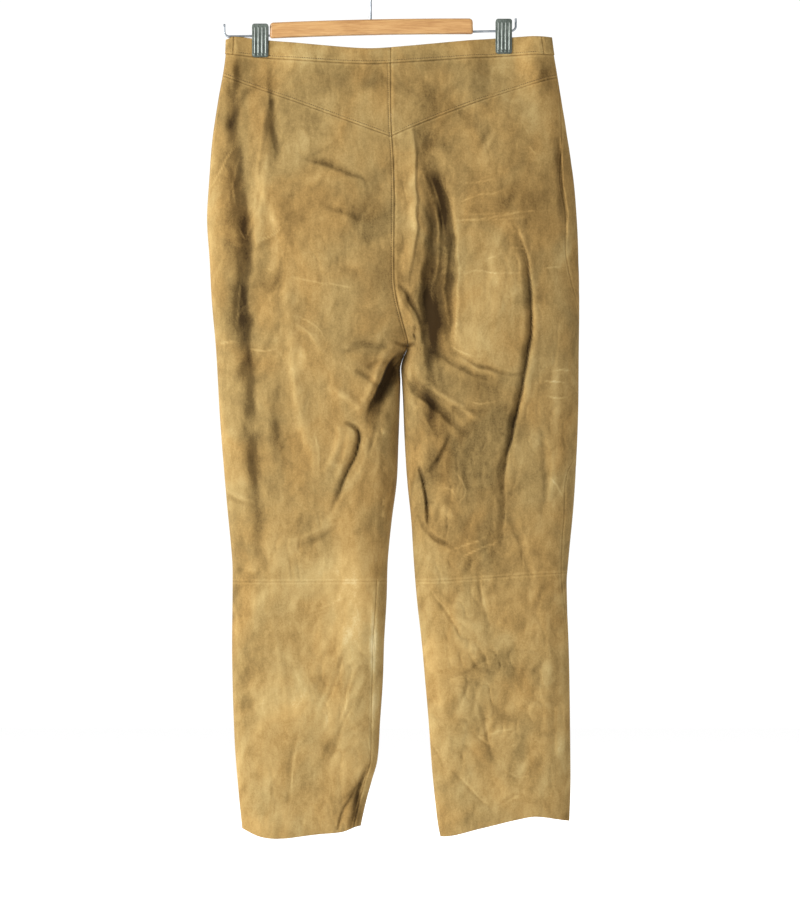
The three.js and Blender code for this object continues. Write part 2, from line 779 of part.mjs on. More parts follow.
// Points on an arc about a centre, in the X-Z plane
function arc(centreX, centreZ, radius, fromAngle, toAngle, count) {
  return steps(fromAngle, toAngle, count).map((angle) => {
    const turn = THREE.MathUtils.degToRad(angle);
    return [centreX + radius * Math.cos(turn), centreZ + radius * Math.sin(turn)];
  });
}

// Wooden bar: a low arch with rounded ends, and blind holes for the hook and the two wires
const barBottom = 88;
const barArch = 1.5;
const barTilt = THREE.MathUtils.degToRad(1.2);
const barRound = 2.5;
const barShoulder = 5;
const holeClearance = 0.35;
const wireInBar = 14;
const wireHoleDepth = 16;
const hookInBar = 8;
const hookHoleDepth = 10;
function woodenBar() {
  const halfWidth = barWidth / 2 - barRound;
  const low = barRound;
  const high = barHeight - barRound;
  const shape = new THREE.Shape();
  shape.moveTo(-halfWidth, low);
  shape.quadraticCurveTo(0, low + 2 * barArch, halfWidth, low);
  shape.lineTo(halfWidth, high - barShoulder);
  shape.quadraticCurveTo(halfWidth, high, halfWidth - barShoulder, high);
  shape.quadraticCurveTo(0, high + 2 * barArch, -halfWidth + barShoulder, high);
  shape.quadraticCurveTo(-halfWidth, high, -halfWidth, high - barShoulder);
  const geometry = new THREE.ExtrudeGeometry(shape, {
    depth: barDepth - 2 * barRound,
    bevelThickness: barRound,
    bevelSize: barRound,
    bevelSegments: 3,
    curveSegments: 10,
  });
  geometry.rotateX(Math.PI / 2);
  geometry.translate(0, barDepth / 2 - barRound, 0);
  return geometry;
}
const wireSlope = (clips.right.wireDrop - clips.left.wireDrop) / (clips.right.x - clips.left.x);
function wireDropAt(x) {
  return clips.left.wireDrop + wireSlope * (x - clips.left.x);
}
const barPlace = new THREE.Vector3(barX, 0, -barBottom);
const bar = woodenBar();
bar.rotateY(-barTilt);
bar.translate(barPlace.x, barPlace.y, barPlace.z);
const hookHoleRadius = hookWireRadius + holeClearance;
const hookHole = new THREE.CylinderGeometry(hookHoleRadius, hookHoleRadius, 2 * hookHoleDepth, 16);
hookHole.rotateX(Math.PI / 2);
hookHole.translate(0, 0, -barBottom + barHeight);

// Wires: each starts in an end of the bar and turns up at its far end, so that the clip stays on it
const wireCorner = { left: -187, right: 186 };
const wireBend = 6;
const wireEndRise = 16;
const away = { left: -1, right: 1 };
const wirePoint = (x) => [x, -wireDropAt(x)];
function wirePoints(side) {
  const start = barX + away[side] * (barWidth / 2 - wireInBar);
  const corner = wireCorner[side];
  const bendX = corner - away[side] * wireBend;
  const level = -wireDropAt(bendX);
  const bend = arc(bendX, level + wireBend, wireBend, -90, side === 'left' ? -180 : 0, 4);
  return [wirePoint(start), ...bend, [corner, level + wireEndRise]];
}
const wireHoles = ['left', 'right'].map((side) => {
  const bottom = barX + away[side] * (barWidth / 2 - wireHoleDepth);
  const mouth = barX + away[side] * (barWidth / 2 + barRound);
  return rod([wirePoint(bottom), wirePoint(mouth)], wireRadius + holeClearance, 12);
});
let barSolid = solid(bar).subtract(solid(hookHole));
for (const hole of wireHoles) barSolid = barSolid.subtract(solid(hole));
add('hanger_bar', geometryOf(barSolid), wood);
for (const side of ['left', 'right']) {
  add(`hanger_wire_${side}`, rod(wirePoints(side), wireRadius, 10), steel);
}

// Hook: a stem from the bar into an open round that lies on the rail
const hookLine = hookInside + hookWireRadius;
const neckRadius = hookLine / 2;
const neckDrop = 2 * hookInside + 4;
const hookPoints = [
  [0, -barBottom + barHeight - hookInBar],
  [0, -neckDrop - 8],
  ...arc(neckRadius, -neckDrop, neckRadius, 180, 130, 3),
  ...arc(0, -hookInside, hookLine, -48, 196, 18),
];
add('hanger_hook', rod(hookPoints, hookWireRadius, 10), steel);

// Clips: two bent jaws of ribbed sheet that grip the waistband, and a coil round the wire between them
const jawSheet = 1.2;
const jawInside = pinchedDepth + bandProud + seamGap;
const coilRadius = 3.4;
const coilLength = 15;
const jawTop = 15;
const jawFlare = 9;
const jawStraightFrom = 9;
const ribCount = 4;
const ribWidth = 1.8;
const ribProud = 0.7;
const ribFromTip = 4.5;
const ribSpacing = clipWidth / (ribCount + 0.4);
function jaw(reach) {
  const profile = new THREE.Shape();
  const inside = [
    [jawInside, -reach],
    [jawInside, -jawStraightFrom],
    [coilRadius + seamGap, 0],
    [jawFlare, jawTop],
  ];
  profile.moveTo(...inside[0]);
  inside.slice(1).forEach(([y, z]) => profile.lineTo(y, z));
  [...inside].reverse().forEach(([y, z]) => profile.lineTo(y + jawSheet, z));
  const plate = new THREE.ExtrudeGeometry(profile, { depth: clipWidth, bevelEnabled: false });
  plate.translate(0, 0, -clipWidth / 2);
  let body = solid(plate);
  for (let i = 0; i < ribCount; i += 1) {
    const across = (i - (ribCount - 1) / 2) * ribSpacing;
    const ribLength = reach - jawStraightFrom - ribFromTip;
    const rib = new THREE.BoxGeometry(ribProud * 2, ribLength, ribWidth);
    rib.translate(jawInside + jawSheet, -reach + ribFromTip + ribLength / 2, across);
    body = body.add(solid(rib));
  }
  const geometry = geometryOf(body);
  geometry.rotateX(Math.PI / 2);
  geometry.rotateZ(-Math.PI / 2);
  return geometry;
}
for (const side of ['left', 'right']) {
  const clip = clips[side];
  const place = new THREE.Vector3(clip.x, 0, -clip.wireDrop);
  const backJaw = jaw(clip.reach);
  const frontJaw = backJaw.clone().rotateZ(Math.PI);
  add(`clip_${side}_back_jaw`, backJaw, steel, place);
  add(`clip_${side}_front_jaw`, frontJaw, steel, place);
  const coil = turnedPiece([
    [wireRadius + seamGap, -coilLength / 2],
    [coilRadius, -coilLength / 2],
    [coilRadius, coilLength / 2],
    [wireRadius + seamGap, coilLength / 2],
    [wireRadius + seamGap, -coilLength / 2],
  ], 14);
  coil.rotateZ(Math.PI / 2);
  coil.rotateY(Math.atan(wireSlope));
  add(`clip_${side}_spring`, coil, steel, new THREE.Vector3(clip.x, 0, -clip.wireDrop));
}

export default group;
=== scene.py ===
# Long suede leather trousers, hung by the waistband from a wooden clip hanger, seen from the back.
# Shapes are worked out in millimetres: x beside the hook, and drop below the rail that carries it.
# The back faces -Y. "left" is the half at -X, the wearer's left, and "right" is at +X.
import copy
import math

import bpy
import numpy as np
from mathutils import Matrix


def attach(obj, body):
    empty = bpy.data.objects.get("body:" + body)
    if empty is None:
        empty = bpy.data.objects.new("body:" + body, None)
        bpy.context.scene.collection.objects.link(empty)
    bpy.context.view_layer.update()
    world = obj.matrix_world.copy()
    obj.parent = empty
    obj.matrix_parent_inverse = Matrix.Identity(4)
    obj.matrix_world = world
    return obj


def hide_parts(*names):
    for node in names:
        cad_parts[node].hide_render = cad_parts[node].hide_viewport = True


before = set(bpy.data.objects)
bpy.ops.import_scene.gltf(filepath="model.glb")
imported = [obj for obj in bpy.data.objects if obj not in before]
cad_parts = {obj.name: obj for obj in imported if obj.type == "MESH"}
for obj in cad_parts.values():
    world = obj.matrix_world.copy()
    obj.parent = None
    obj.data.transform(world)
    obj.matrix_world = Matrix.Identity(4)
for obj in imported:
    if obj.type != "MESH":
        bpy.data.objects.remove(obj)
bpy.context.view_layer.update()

# Driving sizes
LEATHER = 1.2
BAND_LEATHER = 2.4
BAND_PROUD = 0.8
SEAM_HALF = 0.02
CROTCH_DROP = 489.5
SEAT_START_DROP = 378
BACK_RISE_X = 26
CLIP_WIDTH = 21
FOLD_FULL_DEPTH = 18
EDGE_RADIUS = 10
PINCHED_GAP = 0.35
PINCHED_DEPTH = PINCHED_GAP + BAND_LEATHER - BAND_PROUD
METRES = 0.001

# The photograph, in pixels, and the column and row of it at x 0 and at a known drop
MM_PER_PIXEL = 1.28
PICTURE_WIDTH = 800
PICTURE_HEIGHT = 914
HOOK_COLUMN = 370.5
LEVEL_ROW = 34
LEVEL_DROP = 85

# Camera, level with the middle of the photograph's frame and far enough off to look flat
CAMERA_DISTANCE = 6.0
SENSOR = 24


def from_photo(right, down):
    """The x and drop that a pixel of the photograph shows."""
    return (right - HOOK_COLUMN) * MM_PER_PIXEL, LEVEL_DROP + (down - LEVEL_ROW) * MM_PER_PIXEL


def add_camera():
    x, drop = from_photo(PICTURE_WIDTH / 2, PICTURE_HEIGHT / 2)
    data = bpy.data.cameras.new("camera")
    data.sensor_fit = "VERTICAL"
    data.sensor_height = SENSOR
    data.lens = SENSOR * CAMERA_DISTANCE / (PICTURE_HEIGHT * MM_PER_PIXEL * METRES)
    data.clip_end = 50
    camera = bpy.data.objects.new("camera", data)
    camera.location = (x * METRES, -CAMERA_DISTANCE, -drop * METRES)
    camera.rotation_euler = (math.pi / 2, 0, 0)
    bpy.context.scene.collection.objects.link(camera)
    bpy.context.scene.camera = camera


add_camera()


def table(columns, *rows):
    """Rows of numbers under named columns. The first column is the place that each row is at."""
    return dict(zip(columns, np.array(rows, float).T))


def read(rows, column, place):
    """A column at places along the first one, on a smooth curve through its rows."""
    key = next(iter(rows.values()))
    value = rows[column]
    last = len(key) - 1
    before = np.maximum(np.arange(last + 1) - 1, 0)
    after = np.minimum(np.arange(last + 1) + 1, last)
    slope = (value[after] - value[before]) / (key[after] - key[before])
    i = np.clip(np.searchsorted(key, place) - 1, 0, last - 1)
    span = key[i + 1] - key[i]
    t = np.clip((place - key[i]) / span, 0, 1)
    bend = t * t * (3 - 2 * t)
    start = t * (1 - t) ** 2 * span * slope[i]
    end = t * t * (t - 1) * span * slope[i + 1]
    return value[i] + (value[i + 1] - value[i]) * bend + start + end


# Outer edges of the garment, how far the back and the front stand off its middle, and the width in
# which an outer edge turns from one to the other
outline = table(
    ["drop", "left", "right", "back", "front", "turn"],
    [88, -184.5, 231.5, 8, 8, 18],
    [111, -185.5, 234.6, 11, 10, 28],
    [131, -188, 238, 15, 13, 45],
    [170, -195, 244.4, 24, 18, 80],
    [221, -202.5, 252.7, 32, 22, 115],
    [272, -206.5, 260, 38, 25, 135],
    [323, -209.3, 264.4, 42, 27, 145],
    [374, -206, 266.4, 43.5, 28, 150],
    [426, -203.3, 267.3, 43, 28.5, 145],
    [490, -197.7, 266.7, 40, 29, 125],
    [579, -192.6, 265.6, 36, 28, 95],
    [681, -184.4, 260.4, 31, 26, 75],
    [758, -177.3, 253.2, 27, 24.5, 62],
    [790, -176.8, 251.1, 26, 24, 60],
    [886, -177.3, 254.1, 24, 22, 55],
    [989, -174, 255.7, 22, 21, 50],
    [1053, -169, 256, 20.5, 20, 47],
    [1112, -163, 254, 19, 18, 45],
)

# Inner edges of the two legs, the width in which they turn, and how far each leg hangs back or forward
legs = table(
    ["drop", "left", "right", "turn", "leftSway", "rightSway"],
    [489.5, 46.46, 46.54, 62, 0, 0],
    [500, 41.76, 41.86, 61, 0, 0],
    [511, 38.4, 39.1, 60, 0, 0],
    [528, 38.4, 40, 58, 0, 0],
    [553.5, 37.8, 41.5, 56, 1, -1],
    [605, 36, 43.6, 53, 2, -2],
    [656, 33.9, 46.8, 50, 3, -4],
    [707, 27.4, 52, 48, 4, -5],
    [758, 22.4, 55.2, 46, 5, -6],
    [809.5, 20.7, 59.4, 45, 5, -6],
    [861, 17.7, 65.2, 44, 4, -5],
    [912, 16, 69.8, 43, 3, -3],
    [963, 12.5, 74.2, 42, 1, -1],
    [1014, 9, 77.8, 41, -1, 1],
    [1040, 1.9, 80, 40, -2, 2],
    [1065.5, -5.1, 82.6, 40, -3, 3],
    [1097.5, -12.2, 86.4, 40, -4, 4],
    [1112, -14, 89.3, 40, -4, 4],
)

# The rise seam between the two halves, from the waist to the crotch
rise = table(
    ["drop", "x"],
    [88, BACK_RISE_X],
    [157, BACK_RISE_X],
    [208, 27.1],
    [246, 29.6],
    [298, 30.8],
    [400, 30.6],
    [426, 34],
    [451, 40.3],
    [474, 46.5],
    [482, 47.8],
    [CROTCH_DROP, 46.5],
)

# How far round the edge each long seam lies on the back, in mm of cloth
seams = table(
    ["drop", "left", "right"],
    [88, 3, 2],
    [140, 3, 2],
    [170, 3, 7],
    [221, 4, 13],
    [272, 4, 19.3],
    [313, 2, 17.6],
    [364, 0, 18.4],
    [400, 0, 15.2],
    [423, 0, 10.5],
    [460, 0, 1],
    [610, 0, 1],
    [645, 0, 14.8],
    [707, 0, 15.2],
    [765, 0, 13.4],
    [830, 0, 8],
    [900, 0, 0],
    [1112, 0, 0],
)
BAND_SEAMS = {"left": 14, "right": 16}
inseams = table(
    ["drop", "left", "right"],
    [489.5, 0, 0],
    [503, 8, 4],
    [520, 16, 9],
    [541, 22, 16],
    [566, 22.6, 19.3],
    [592, 21.4, 18.2],
    [617, 20.3, 16.7],
    [650, 19.2, 13.9],
    [690, 17, 5],
    [739, 15.3, 0],
    [797, 16.4, 0],
    [912, 16.4, 0],
    [1021, 13.4, 0],
    [1112, 13.4, 0],
)

# Edges and cross seams, as drops beside the hook
waist = table(
    ["x", "top", "bottom"],
    [-188, 92.5, 110.5],
    [-182.5, 92, 110.9],
    [-176, 88.8, 111.6],
    [-129, 93.5, 116.4],
    [-52, 100.8, 122],
    [0, 104, 124],
    [51, 100.5, 121.5],
    [128, 93.5, 116.3],
    [204, 88.3, 111.9],
    [236, 89.8, 111.9],
)
hem = table(
    ["x", "drop"],
    [-164, 1101],
    [-141, 1111],
    [-116, 1113.5],
    [-65, 1107.7],
    [-36, 1105],
    [-12, 1098],
    [89, 1112],
    [140, 1101.3],
    [191, 1089],
    [213, 1086],
    [254, 1092],
)
YOKE_DROP = {"left": 138.8, "right": 140.7, "centre": 218}
YOKE_BOW = {"left": 0, "right": 4.7}
KNEE_DROP = {"left": 785.8, "right": 774.6, "inner": 785}
CLIPS = {
    "left": {"x": -141, "wire_drop": 87.4, "reach": 27.6},
    "right": {"x": 170.6, "wire_drop": 81.2, "reach": 29.4},
}


def smoothstep(value, low, high):
    t = np.clip((value - low) / (high - low), 0, 1)
    return t * t * (3 - 2 * t)


def noise(x, drop, size, seed):
    """Smooth noise from -1 to 1 over a surface, with lumps about that size in mm."""
    lattice = np.random.default_rng(seed).uniform(-1, 1, (97, 101))
    u = np.asarray(x) / size + 31.7
    v = np.asarray(drop) / size + 17.3
    i = np.floor(u).astype(int)
    j = np.floor(v).astype(int)
    s = u - i
    t = v - j
    s = s * s * s * (s * (6 * s - 15) + 10)
    t = t * t * t * (t * (6 * t - 15) + 10)

    def at(a, b):
        return lattice[(j + b) % 97, (i + a) % 101]

    top = at(0, 0) + (at(1, 0) - at(0, 0)) * s
    bottom = at(0, 1) + (at(1, 1) - at(0, 1)) * s
    return top + (bottom - top) * t


# Folds: mm between their points, tone for each mm of height, which paints shade into troughs and light onto
# ridges, and the shares of their length over which their own tone comes in and goes
FOLD_STEP = 4
FOLD_PAINTED_SHADE = 0.055
TONE_COMES = (-0.05, 0.3)
TONE_GOES = (0.7, 1.05)


class Fold:
    """A ridge, above nought, or a trough, below it, along a curve of (right, down, height) points of the
    photograph. near is its half width to the left of a line that runs down, or below one that runs to
    the right, and far is the half width on the other side. tone lightens or darkens it beyond its
    height, less towards both ends, and sharp makes its line a crease."""

    def __init__(self, near, far, *points, tone=0.0, sharp=0.0):
        points = np.array(points, float)
        x, drop = from_photo(points[:, 0], points[:, 1])
        length = np.concatenate([[0], np.cumsum(np.hypot(np.diff(x), np.diff(drop)))])
        place = np.linspace(0, length[-1], max(3, int(length[-1] / FOLD_STEP) + 1))
        curve = {"length": length, "x": x, "drop": drop, "height": points[:, 2]}
        self.x = read(curve, "x", place)
        self.drop = read(curve, "drop", place)
        self.height = read(curve, "height", place)
        self.near = near
        self.far = far
        self.tone = tone
        self.sharp = sharp

    def raise_cloth(self, x, drop, height, tone):
        """Adds this fold to the height and the tone at each place."""
        reach = max(self.near, self.far)
        close = (x > self.x.min() - reach) & (x < self.x.max() + reach)
        close &= (drop > self.drop.min() - reach) & (drop < self.drop.max() + reach)
        places = np.nonzero(close)[0]
        if len(places) == 0:
            return
        at_x = x[places]
        at_drop = drop[places]
        best = np.full(len(places), 1e9)
        side = np.zeros(len(places))
        peak = np.zeros(len(places))
        along = np.zeros(len(places))
        for i in range(len(self.x) - 1):
            step_x = self.x[i + 1] - self.x[i]
            step_drop = self.drop[i + 1] - self.drop[i]
            off_x = at_x - self.x[i]
            off_drop = at_drop - self.drop[i]
            length = math.hypot(step_x, step_drop)
            t = np.clip((off_x * step_x + off_drop * step_drop) / length**2, 0, 1)
            distance = np.hypot(off_x - t * step_x, off_drop - t * step_drop)
            nearer = distance < best
            best = np.where(nearer, distance, best)
            side = np.where(nearer, (off_x * step_drop - off_drop * step_x) / length, side)
            peak = np.where(nearer, self.height[i] + (self.height[i + 1] - self.height[i]) * t, peak)
            along = np.where(nearer, (i + t) / (len(self.x) - 1), along)
        lean = side / np.maximum(best, 1e-6)
        wide = (self.near + self.far) / 2 + (self.far - self.near) / 2 * np.clip(lean, -1, 1)
        t = np.clip(best / wide, 0, 1)
        round_shape = np.cos(math.pi / 2 * t) ** 2
        shape = round_shape + self.sharp * ((1 - t) ** 2 - round_shape)
        height[places] += peak * shape
        # Tone from the height, painted shade in troughs and painted light on ridges, then each fold's own
        # tone
        faded = smoothstep(along, *TONE_COMES) * (1 - smoothstep(along, *TONE_GOES))
        tone[places] += (FOLD_PAINTED_SHADE * peak + self.tone * faded) * shape


# Troughs and ridges of the left half of the back, from the waist to the knee
left_back_folds = [
    Fold(8, 10, (231, 85, -2.5), (231, 115, -3.5), (229, 140, -1.5)),
    Fold(22, 10, (240, 145, -0.8), (243, 180, -2), (246, 205, -2.6), (249, 235, -3), (250, 252, -3),
         (247, 268, -2), (244, 285, -2), (242, 320, -2.8), (243, 350, -2)),
    Fold(14, 10, (245, 360, -1.8), (252, 395, -2.8), (255, 420, -1.8)),
    Fold(18, 14, (250, 430, -2), (254, 470, -2.8), (258, 500, -2.4), (261, 540, -2), (263, 580, -1)),
    Fold(4, 5, (238, 250, -0.8), (241, 275, -1.4), (238, 300, -1), (236, 330, -0.6)),
    Fold(4, 5, (246, 300, -0.8), (250, 325, -1.4), (249, 352, -1.2), (253, 380, -0.8)),
    Fold(12, 12, (271, 105, -3), (274, 130, -4), (275, 160, -1.5)),
    Fold(4, 6, (269, 96, 1), (266, 120, 1.4), (262, 145, 1.4), (257, 190, 1.2), (254, 240, 1)),
    Fold(10, 12, (266, 160, 1.5), (262, 200, 2.5), (257, 250, 2), (254, 290, 1)),
    Fold(11, 16, (284, 240, 1), (286, 280, 2), (290, 320, 2.7), (293, 360, 2.7), (299, 400, 2.7),
         (303, 425, 2.4), (312, 450, 2), (320, 475, 1)),
    Fold(8, 8, (255, 250, -1.5), (266, 246, -2), (276, 238, -2), (283, 229, -1)),
    # The next folds' dark tone is painted shade in their troughs
    Fold(4, 13, (305, 160, -0.8), (322, 165, -2.6), (343, 174, -2.8), (362, 179, -1), tone=-0.14,
         sharp=0.5),
    Fold(8, 3, (309, 158, -0.5), (324, 150, -1.3), (342, 139, -0.5), tone=-0.08, sharp=0.3),
    Fold(3, 6, (349, 176, -0.5), (363, 180, -1.4), (369, 196, -0.5), tone=-0.06),
    Fold(5, 10, (322, 206, -0.8), (340, 213, -2.2), (360, 221, -1), tone=-0.1, sharp=0.4),
    Fold(9, 9, (290, 218, -1), (303, 213, -1.5), (312, 206, -1)),
    Fold(7, 7, (345, 352, -1.5), (365, 345, -2.5), (385, 347, -1.5)),
    Fold(6, 6, (369, 367, -2), (378, 363, -3), (386, 361, -2)),
    Fold(6, 6, (358, 372, -2), (368, 377, -3), (378, 385, -3)),
    Fold(8, 10, (333, 389, 1.5), (347, 397, 3), (361, 408, 2)),
    Fold(4, 4, (378, 415, -1), (372, 440, -1.5), (366, 460, -1)),
    Fold(4, 10, (300, 330, 1.2), (312, 338, 1.4), (322, 352, 0.6)),
    Fold(7, 10, (340, 430, 2), (336, 450, 3), (326, 470, 2)),
    Fold(5, 6, (225, 489, 1), (240, 497, 1.5), (262, 507, 1)),
    Fold(5, 6, (230, 498, -1.5), (244, 502, -2), (258, 506, -1)),
    # The hem corner's folds carry a dark tone: painted shade in their troughs
    Fold(5, 7, (366, 766, -1.5), (360, 780, -4), (357, 797, -5), (354, 812, -4.5), (352, 826, -3),
         tone=-0.22, sharp=0.3),
    Fold(3, 5, (358, 782, -1), (350, 797, -2.6), (343, 812, -2.5), (338, 828, -3), tone=-0.12, sharp=0.3),
]

# The seat's deep hollow beside the crotch, where the left half folds in under its own edge
left_seat_folds = [
    # Its dark tone is painted shade in the hollow under the edge
    Fold(3, 26, (397, 356, -6), (392, 360, -9), (388, 366, -11), (385, 373, -12), (381, 382, -12),
         (377, 391, -11), (373, 400, -9), (370, 408, -6), (368, 416, -3), tone=-0.5),
    Fold(9, 4, (392, 350, 1), (385, 357, 2.5), (379, 368, 3), (374, 382, 3), (368, 396, 2), (362, 408, 1)),
    Fold(6, 5, (350, 423, -4), (356, 428, -7), (359, 437, -9), (357, 447, -9), (354, 458, -8),
         (348, 472, -7), (341, 488, -5), (336, 502, -3), (333, 511, -1), sharp=0.4),
    Fold(6, 4, (349, 436, 1), (347, 452, 1.6), (341, 470, 1.4), (334, 486, 0.8)),
    Fold(4, 7, (366, 440, 1), (365, 455, 1.8), (358, 473, 1.4), (349, 490, 0.8)),
    Fold(4, 4, (320, 516, -1.2), (328, 518, -1), sharp=0.6),
    Fold(3, 3, (318, 513, -1.2), (321, 527, -1), sharp=0.6),
    Fold(6, 6, (292, 540, 1), (314, 532, 2.2), (335, 525, 1)),
    Fold(5, 4, (300, 545, -1.4), (319, 538, -2.2), (338, 530, -1.2)),
]

# Right half: the deep trough beside the rise seam, with the folds inside it
right_trough_folds = [
    Fold(12, 22, (420, 128, -1), (424, 150, -2.5), (429, 176, -4), (433, 210, -5), (433, 240, -5.5),
         (429, 268, -7), (425, 300, -8.5), (427, 330, -8), (430, 352, -5), (432, 372, -2)),
    Fold(10, 20, (436, 160, -0.5), (441, 185, -2), (443, 220, -2.6), (442, 260, -3), (440, 300, -3.4),
         (440, 335, -3), (441, 365, -1.5)),
    # The ridge's light tone is a painted highlight along it
    Fold(14, 3, (412, 128, 0.8), (415, 150, 2), (416, 190, 2.8), (416, 235, 2.8), (411, 262, 2.4),
         (407, 285, 1.2), tone=0.05),
    Fold(4, 5, (424, 172, 1), (431, 200, 2.2), (437, 225, 2.4), (438, 250, 2), (434, 285, 1)),
    Fold(3, 5, (440, 232, 0.6), (445, 262, 1.6), (443, 292, 1.8), (447, 325, 0.8)),
    Fold(4, 3, (424, 205, -0.6), (430, 222, -1.2), (433, 250, -1.2), (433, 280, -0.6), sharp=0.5),
    Fold(3, 5, (444, 178, -0.8), (446, 200, -1.6), (450, 226, -1.6), (449, 262, -1.2), (447, 290, -0.6),
         sharp=0.4),
    Fold(4, 14, (447, 178, 0.8), (452, 205, 1.5), (457, 240, 2), (454, 275, 2), (452, 310, 2),
         (452, 340, 1)),
    Fold(4, 6, (400, 287, -2), (406, 293, -4), (412, 304, -4.5), (417, 316, -4), (420, 328, -2), sharp=0.5),
    Fold(6, 4, (396, 290, 0.8), (402, 300, 1.8), (408, 312, 1.8), (412, 324, 1)),
    Fold(2.5, 2.5, (415.5, 328, -2.5), (415.5, 334, -3), (415.5, 340, -2.5)),
    Fold(2.5, 3, (417, 322, 0.8), (421, 331, 1.6), (421, 341, 1.4), (415, 346, 0.8)),
    Fold(4, 4, (397, 343, -3), (405, 345, -5), (413, 345, -3)),
    Fold(5, 5, (412, 350, 1.4), (409, 370, 2.5), (410, 395, 1.6)),
]

# Right half: the thigh's long pressed fold, cross folds under the seat and creases down the leg
right_back_folds = [
    Fold(10, 12, (455, 240, -1.5), (453, 290, -3), (450, 330, -4), (455, 355, -2.5)),
    Fold(3, 12, (452, 245, 0.8), (454, 285, 1), (453, 335, 0.8)),
    Fold(11, 2.5, (518, 231, -1), (521, 243, -2.4), (526, 258, -3.6), (529, 275, -4), (531, 300, -4.2),
         (531, 322, -4.4), (528, 355, -4.4), (524, 380, -4.6), (519, 400, -5), (515, 420, -5),
         (511, 440, -4.8), (506, 462, -4.4), (503, 480, -4), (503, 505, -3.2), (503, 530, -2),
         (500, 542, -1)),
    # A thin dark line along the pressed fold's crease: painted shade
    Fold(3, 2.6, (518, 233, -0.4), (521, 243, -0.8), (526, 258, -0.8), (529, 275, -0.8), (531, 300, -0.8),
         (531, 322, -0.8), (528, 355, -0.8), (524, 380, -0.8), (519, 400, -0.8), (513, 430, -0.8),
         (506, 462, -0.8), (503, 490, -0.4), tone=-0.44),
    Fold(5, 10, (520, 235, 0.6), (530, 270, 1.6), (536, 310, 1.8), (533, 355, 1.6), (524, 400, 1.6),
         (514, 445, 1.4), (508, 480, 1)),
    Fold(10, 3.5, (559, 140, -1.5), (560, 160, -4), (561, 178, -4.5), (564, 205, -3.5), (566, 235, -1.5)),
    Fold(6, 8, (414, 366, 1.4), (420, 380, 3), (434, 391, 3.6), (449, 401, 3.6), (465, 411, 3),
         (477, 420, 1.4)),
    Fold(7, 9, (410, 383, -3), (418, 393, -5), (430, 403, -5.6), (445, 416, -5.2), (457, 426, -3.4),
         (466, 433, -1.4)),
    Fold(6, 3, (410, 400, 0.8), (421, 414, 2), (434, 438, 1.4)),
    Fold(4, 6, (449, 436, -2), (443, 450, -3.6), (437, 462, -3.6), (430, 471, -2)),
    Fold(5, 8, (435, 351, -1.5), (446, 359, -2.8), (456, 366, -3), (470, 374, -2.6), (492, 380, -1)),
    Fold(4, 5, (457, 354, -1), (470, 362, -2.4), (485, 368, -2.8), (502, 373, -2.6), (522, 376, -1.2)),
    Fold(5, 5, (462, 358, 0.8), (478, 368, 1.4), (497, 375, 1)),
    Fold(4, 4, (459, 409, -0.8), (475, 411, -1.4), (488, 410, -0.8)),
    Fold(4, 4, (420, 466, -3), (423, 480, -5), (426, 500, -6), (428, 515, -5.5), (427, 528, -2), sharp=0.3),
    Fold(5, 4, (420, 518, -1.5), (427, 531, -3), (436, 539, -4), (446, 544, -3), (456, 549, -1)),
    Fold(12, 12, (440, 500, 1.5), (448, 512, 2.6), (456, 520, 1.5)),
    Fold(6, 9, (509, 515, -0.8), (516, 533, -1.6), (522, 550, -1.8), (528, 568, -1.4), (532, 585, -0.6)),
    Fold(10, 10, (470, 450, -1), (466, 475, -2), (470, 500, -1.5)),
    Fold(8, 8, (540, 430, -1), (546, 470, -2), (543, 510, -1.4)),
]

# Lower legs
right_shin_folds = [
    Fold(5, 7, (428, 588, -1.4), (438, 600, -2.8), (447, 612, -3.4), (453, 622, -3.6), (460, 632, -3),
         (472, 638, -1.4), sharp=0.3),
    Fold(4, 6, (476, 570, -1.2), (481, 592, -3), (486, 620, -1.6)),
    Fold(5, 5, (541, 592, -1.2), (538, 602, -2), (534, 614, -1.2)),
    Fold(6, 6, (476, 642, -1.6), (484, 654, -3), (489, 670, -1.6), sharp=0.3),
    Fold(5, 5, (468, 671, -1.2), (480, 664, -2.2), (494, 659, -1.2)),
    Fold(5, 4, (443, 681, -1.4), (460, 674, -2.5), (482, 669, -1.4), sharp=0.3),
    Fold(5, 6, (471, 677, -1.4), (466, 690, -2.5), (460, 706, -1.4), sharp=0.3),
    Fold(5, 5, (481, 671, -1.2), (477, 692, -2.2), (471, 714, -1.2)),
    Fold(5, 5, (486, 736, 0.8), (498, 730, 1.6), (511, 726, 0.8)),
    Fold(4, 5, (473, 732, -1.4), (481, 738, -2.5), (490, 746, -1.4)),
    Fold(6, 8, (477, 697, -1.6), (484, 718, -4), (487, 735, -4), (491, 755, -3),
         (501, 773, -1.4), sharp=0.2),
    Fold(5, 5, (429, 741, -1.2), (434, 747, -2), (438, 753, -1.2)),
    Fold(5, 5, (453, 770, -1.4), (465, 782, -3), (475, 793, -3), (483, 801, -2.4),
         (492, 809, -1.2), sharp=0.3),
    Fold(5, 5, (498, 806, -1.2), (508, 800, -2), (518, 794, -1.2)),
    Fold(5, 5, (503, 771, -1.2), (515, 776, -2), (527, 774, -1.2)),
    Fold(14, 14, (514, 670, -1.5), (522, 678, -3), (526, 688, -1.5)),
    Fold(12, 12, (456, 643, -1.2), (462, 652, -2.4), (464, 660, -1.2)),
    Fold(12, 12, (496, 708, -1.4), (502, 716, -2.8), (506, 724, -1.4)),
    Fold(9, 12, (440, 600, 1), (436, 640, 2), (440, 690, 2), (446, 740, 1.4), (450, 790, 1)),
    Fold(12, 9, (544, 600, 1), (548, 660, 2), (546, 720, 2), (548, 780, 1)),
]
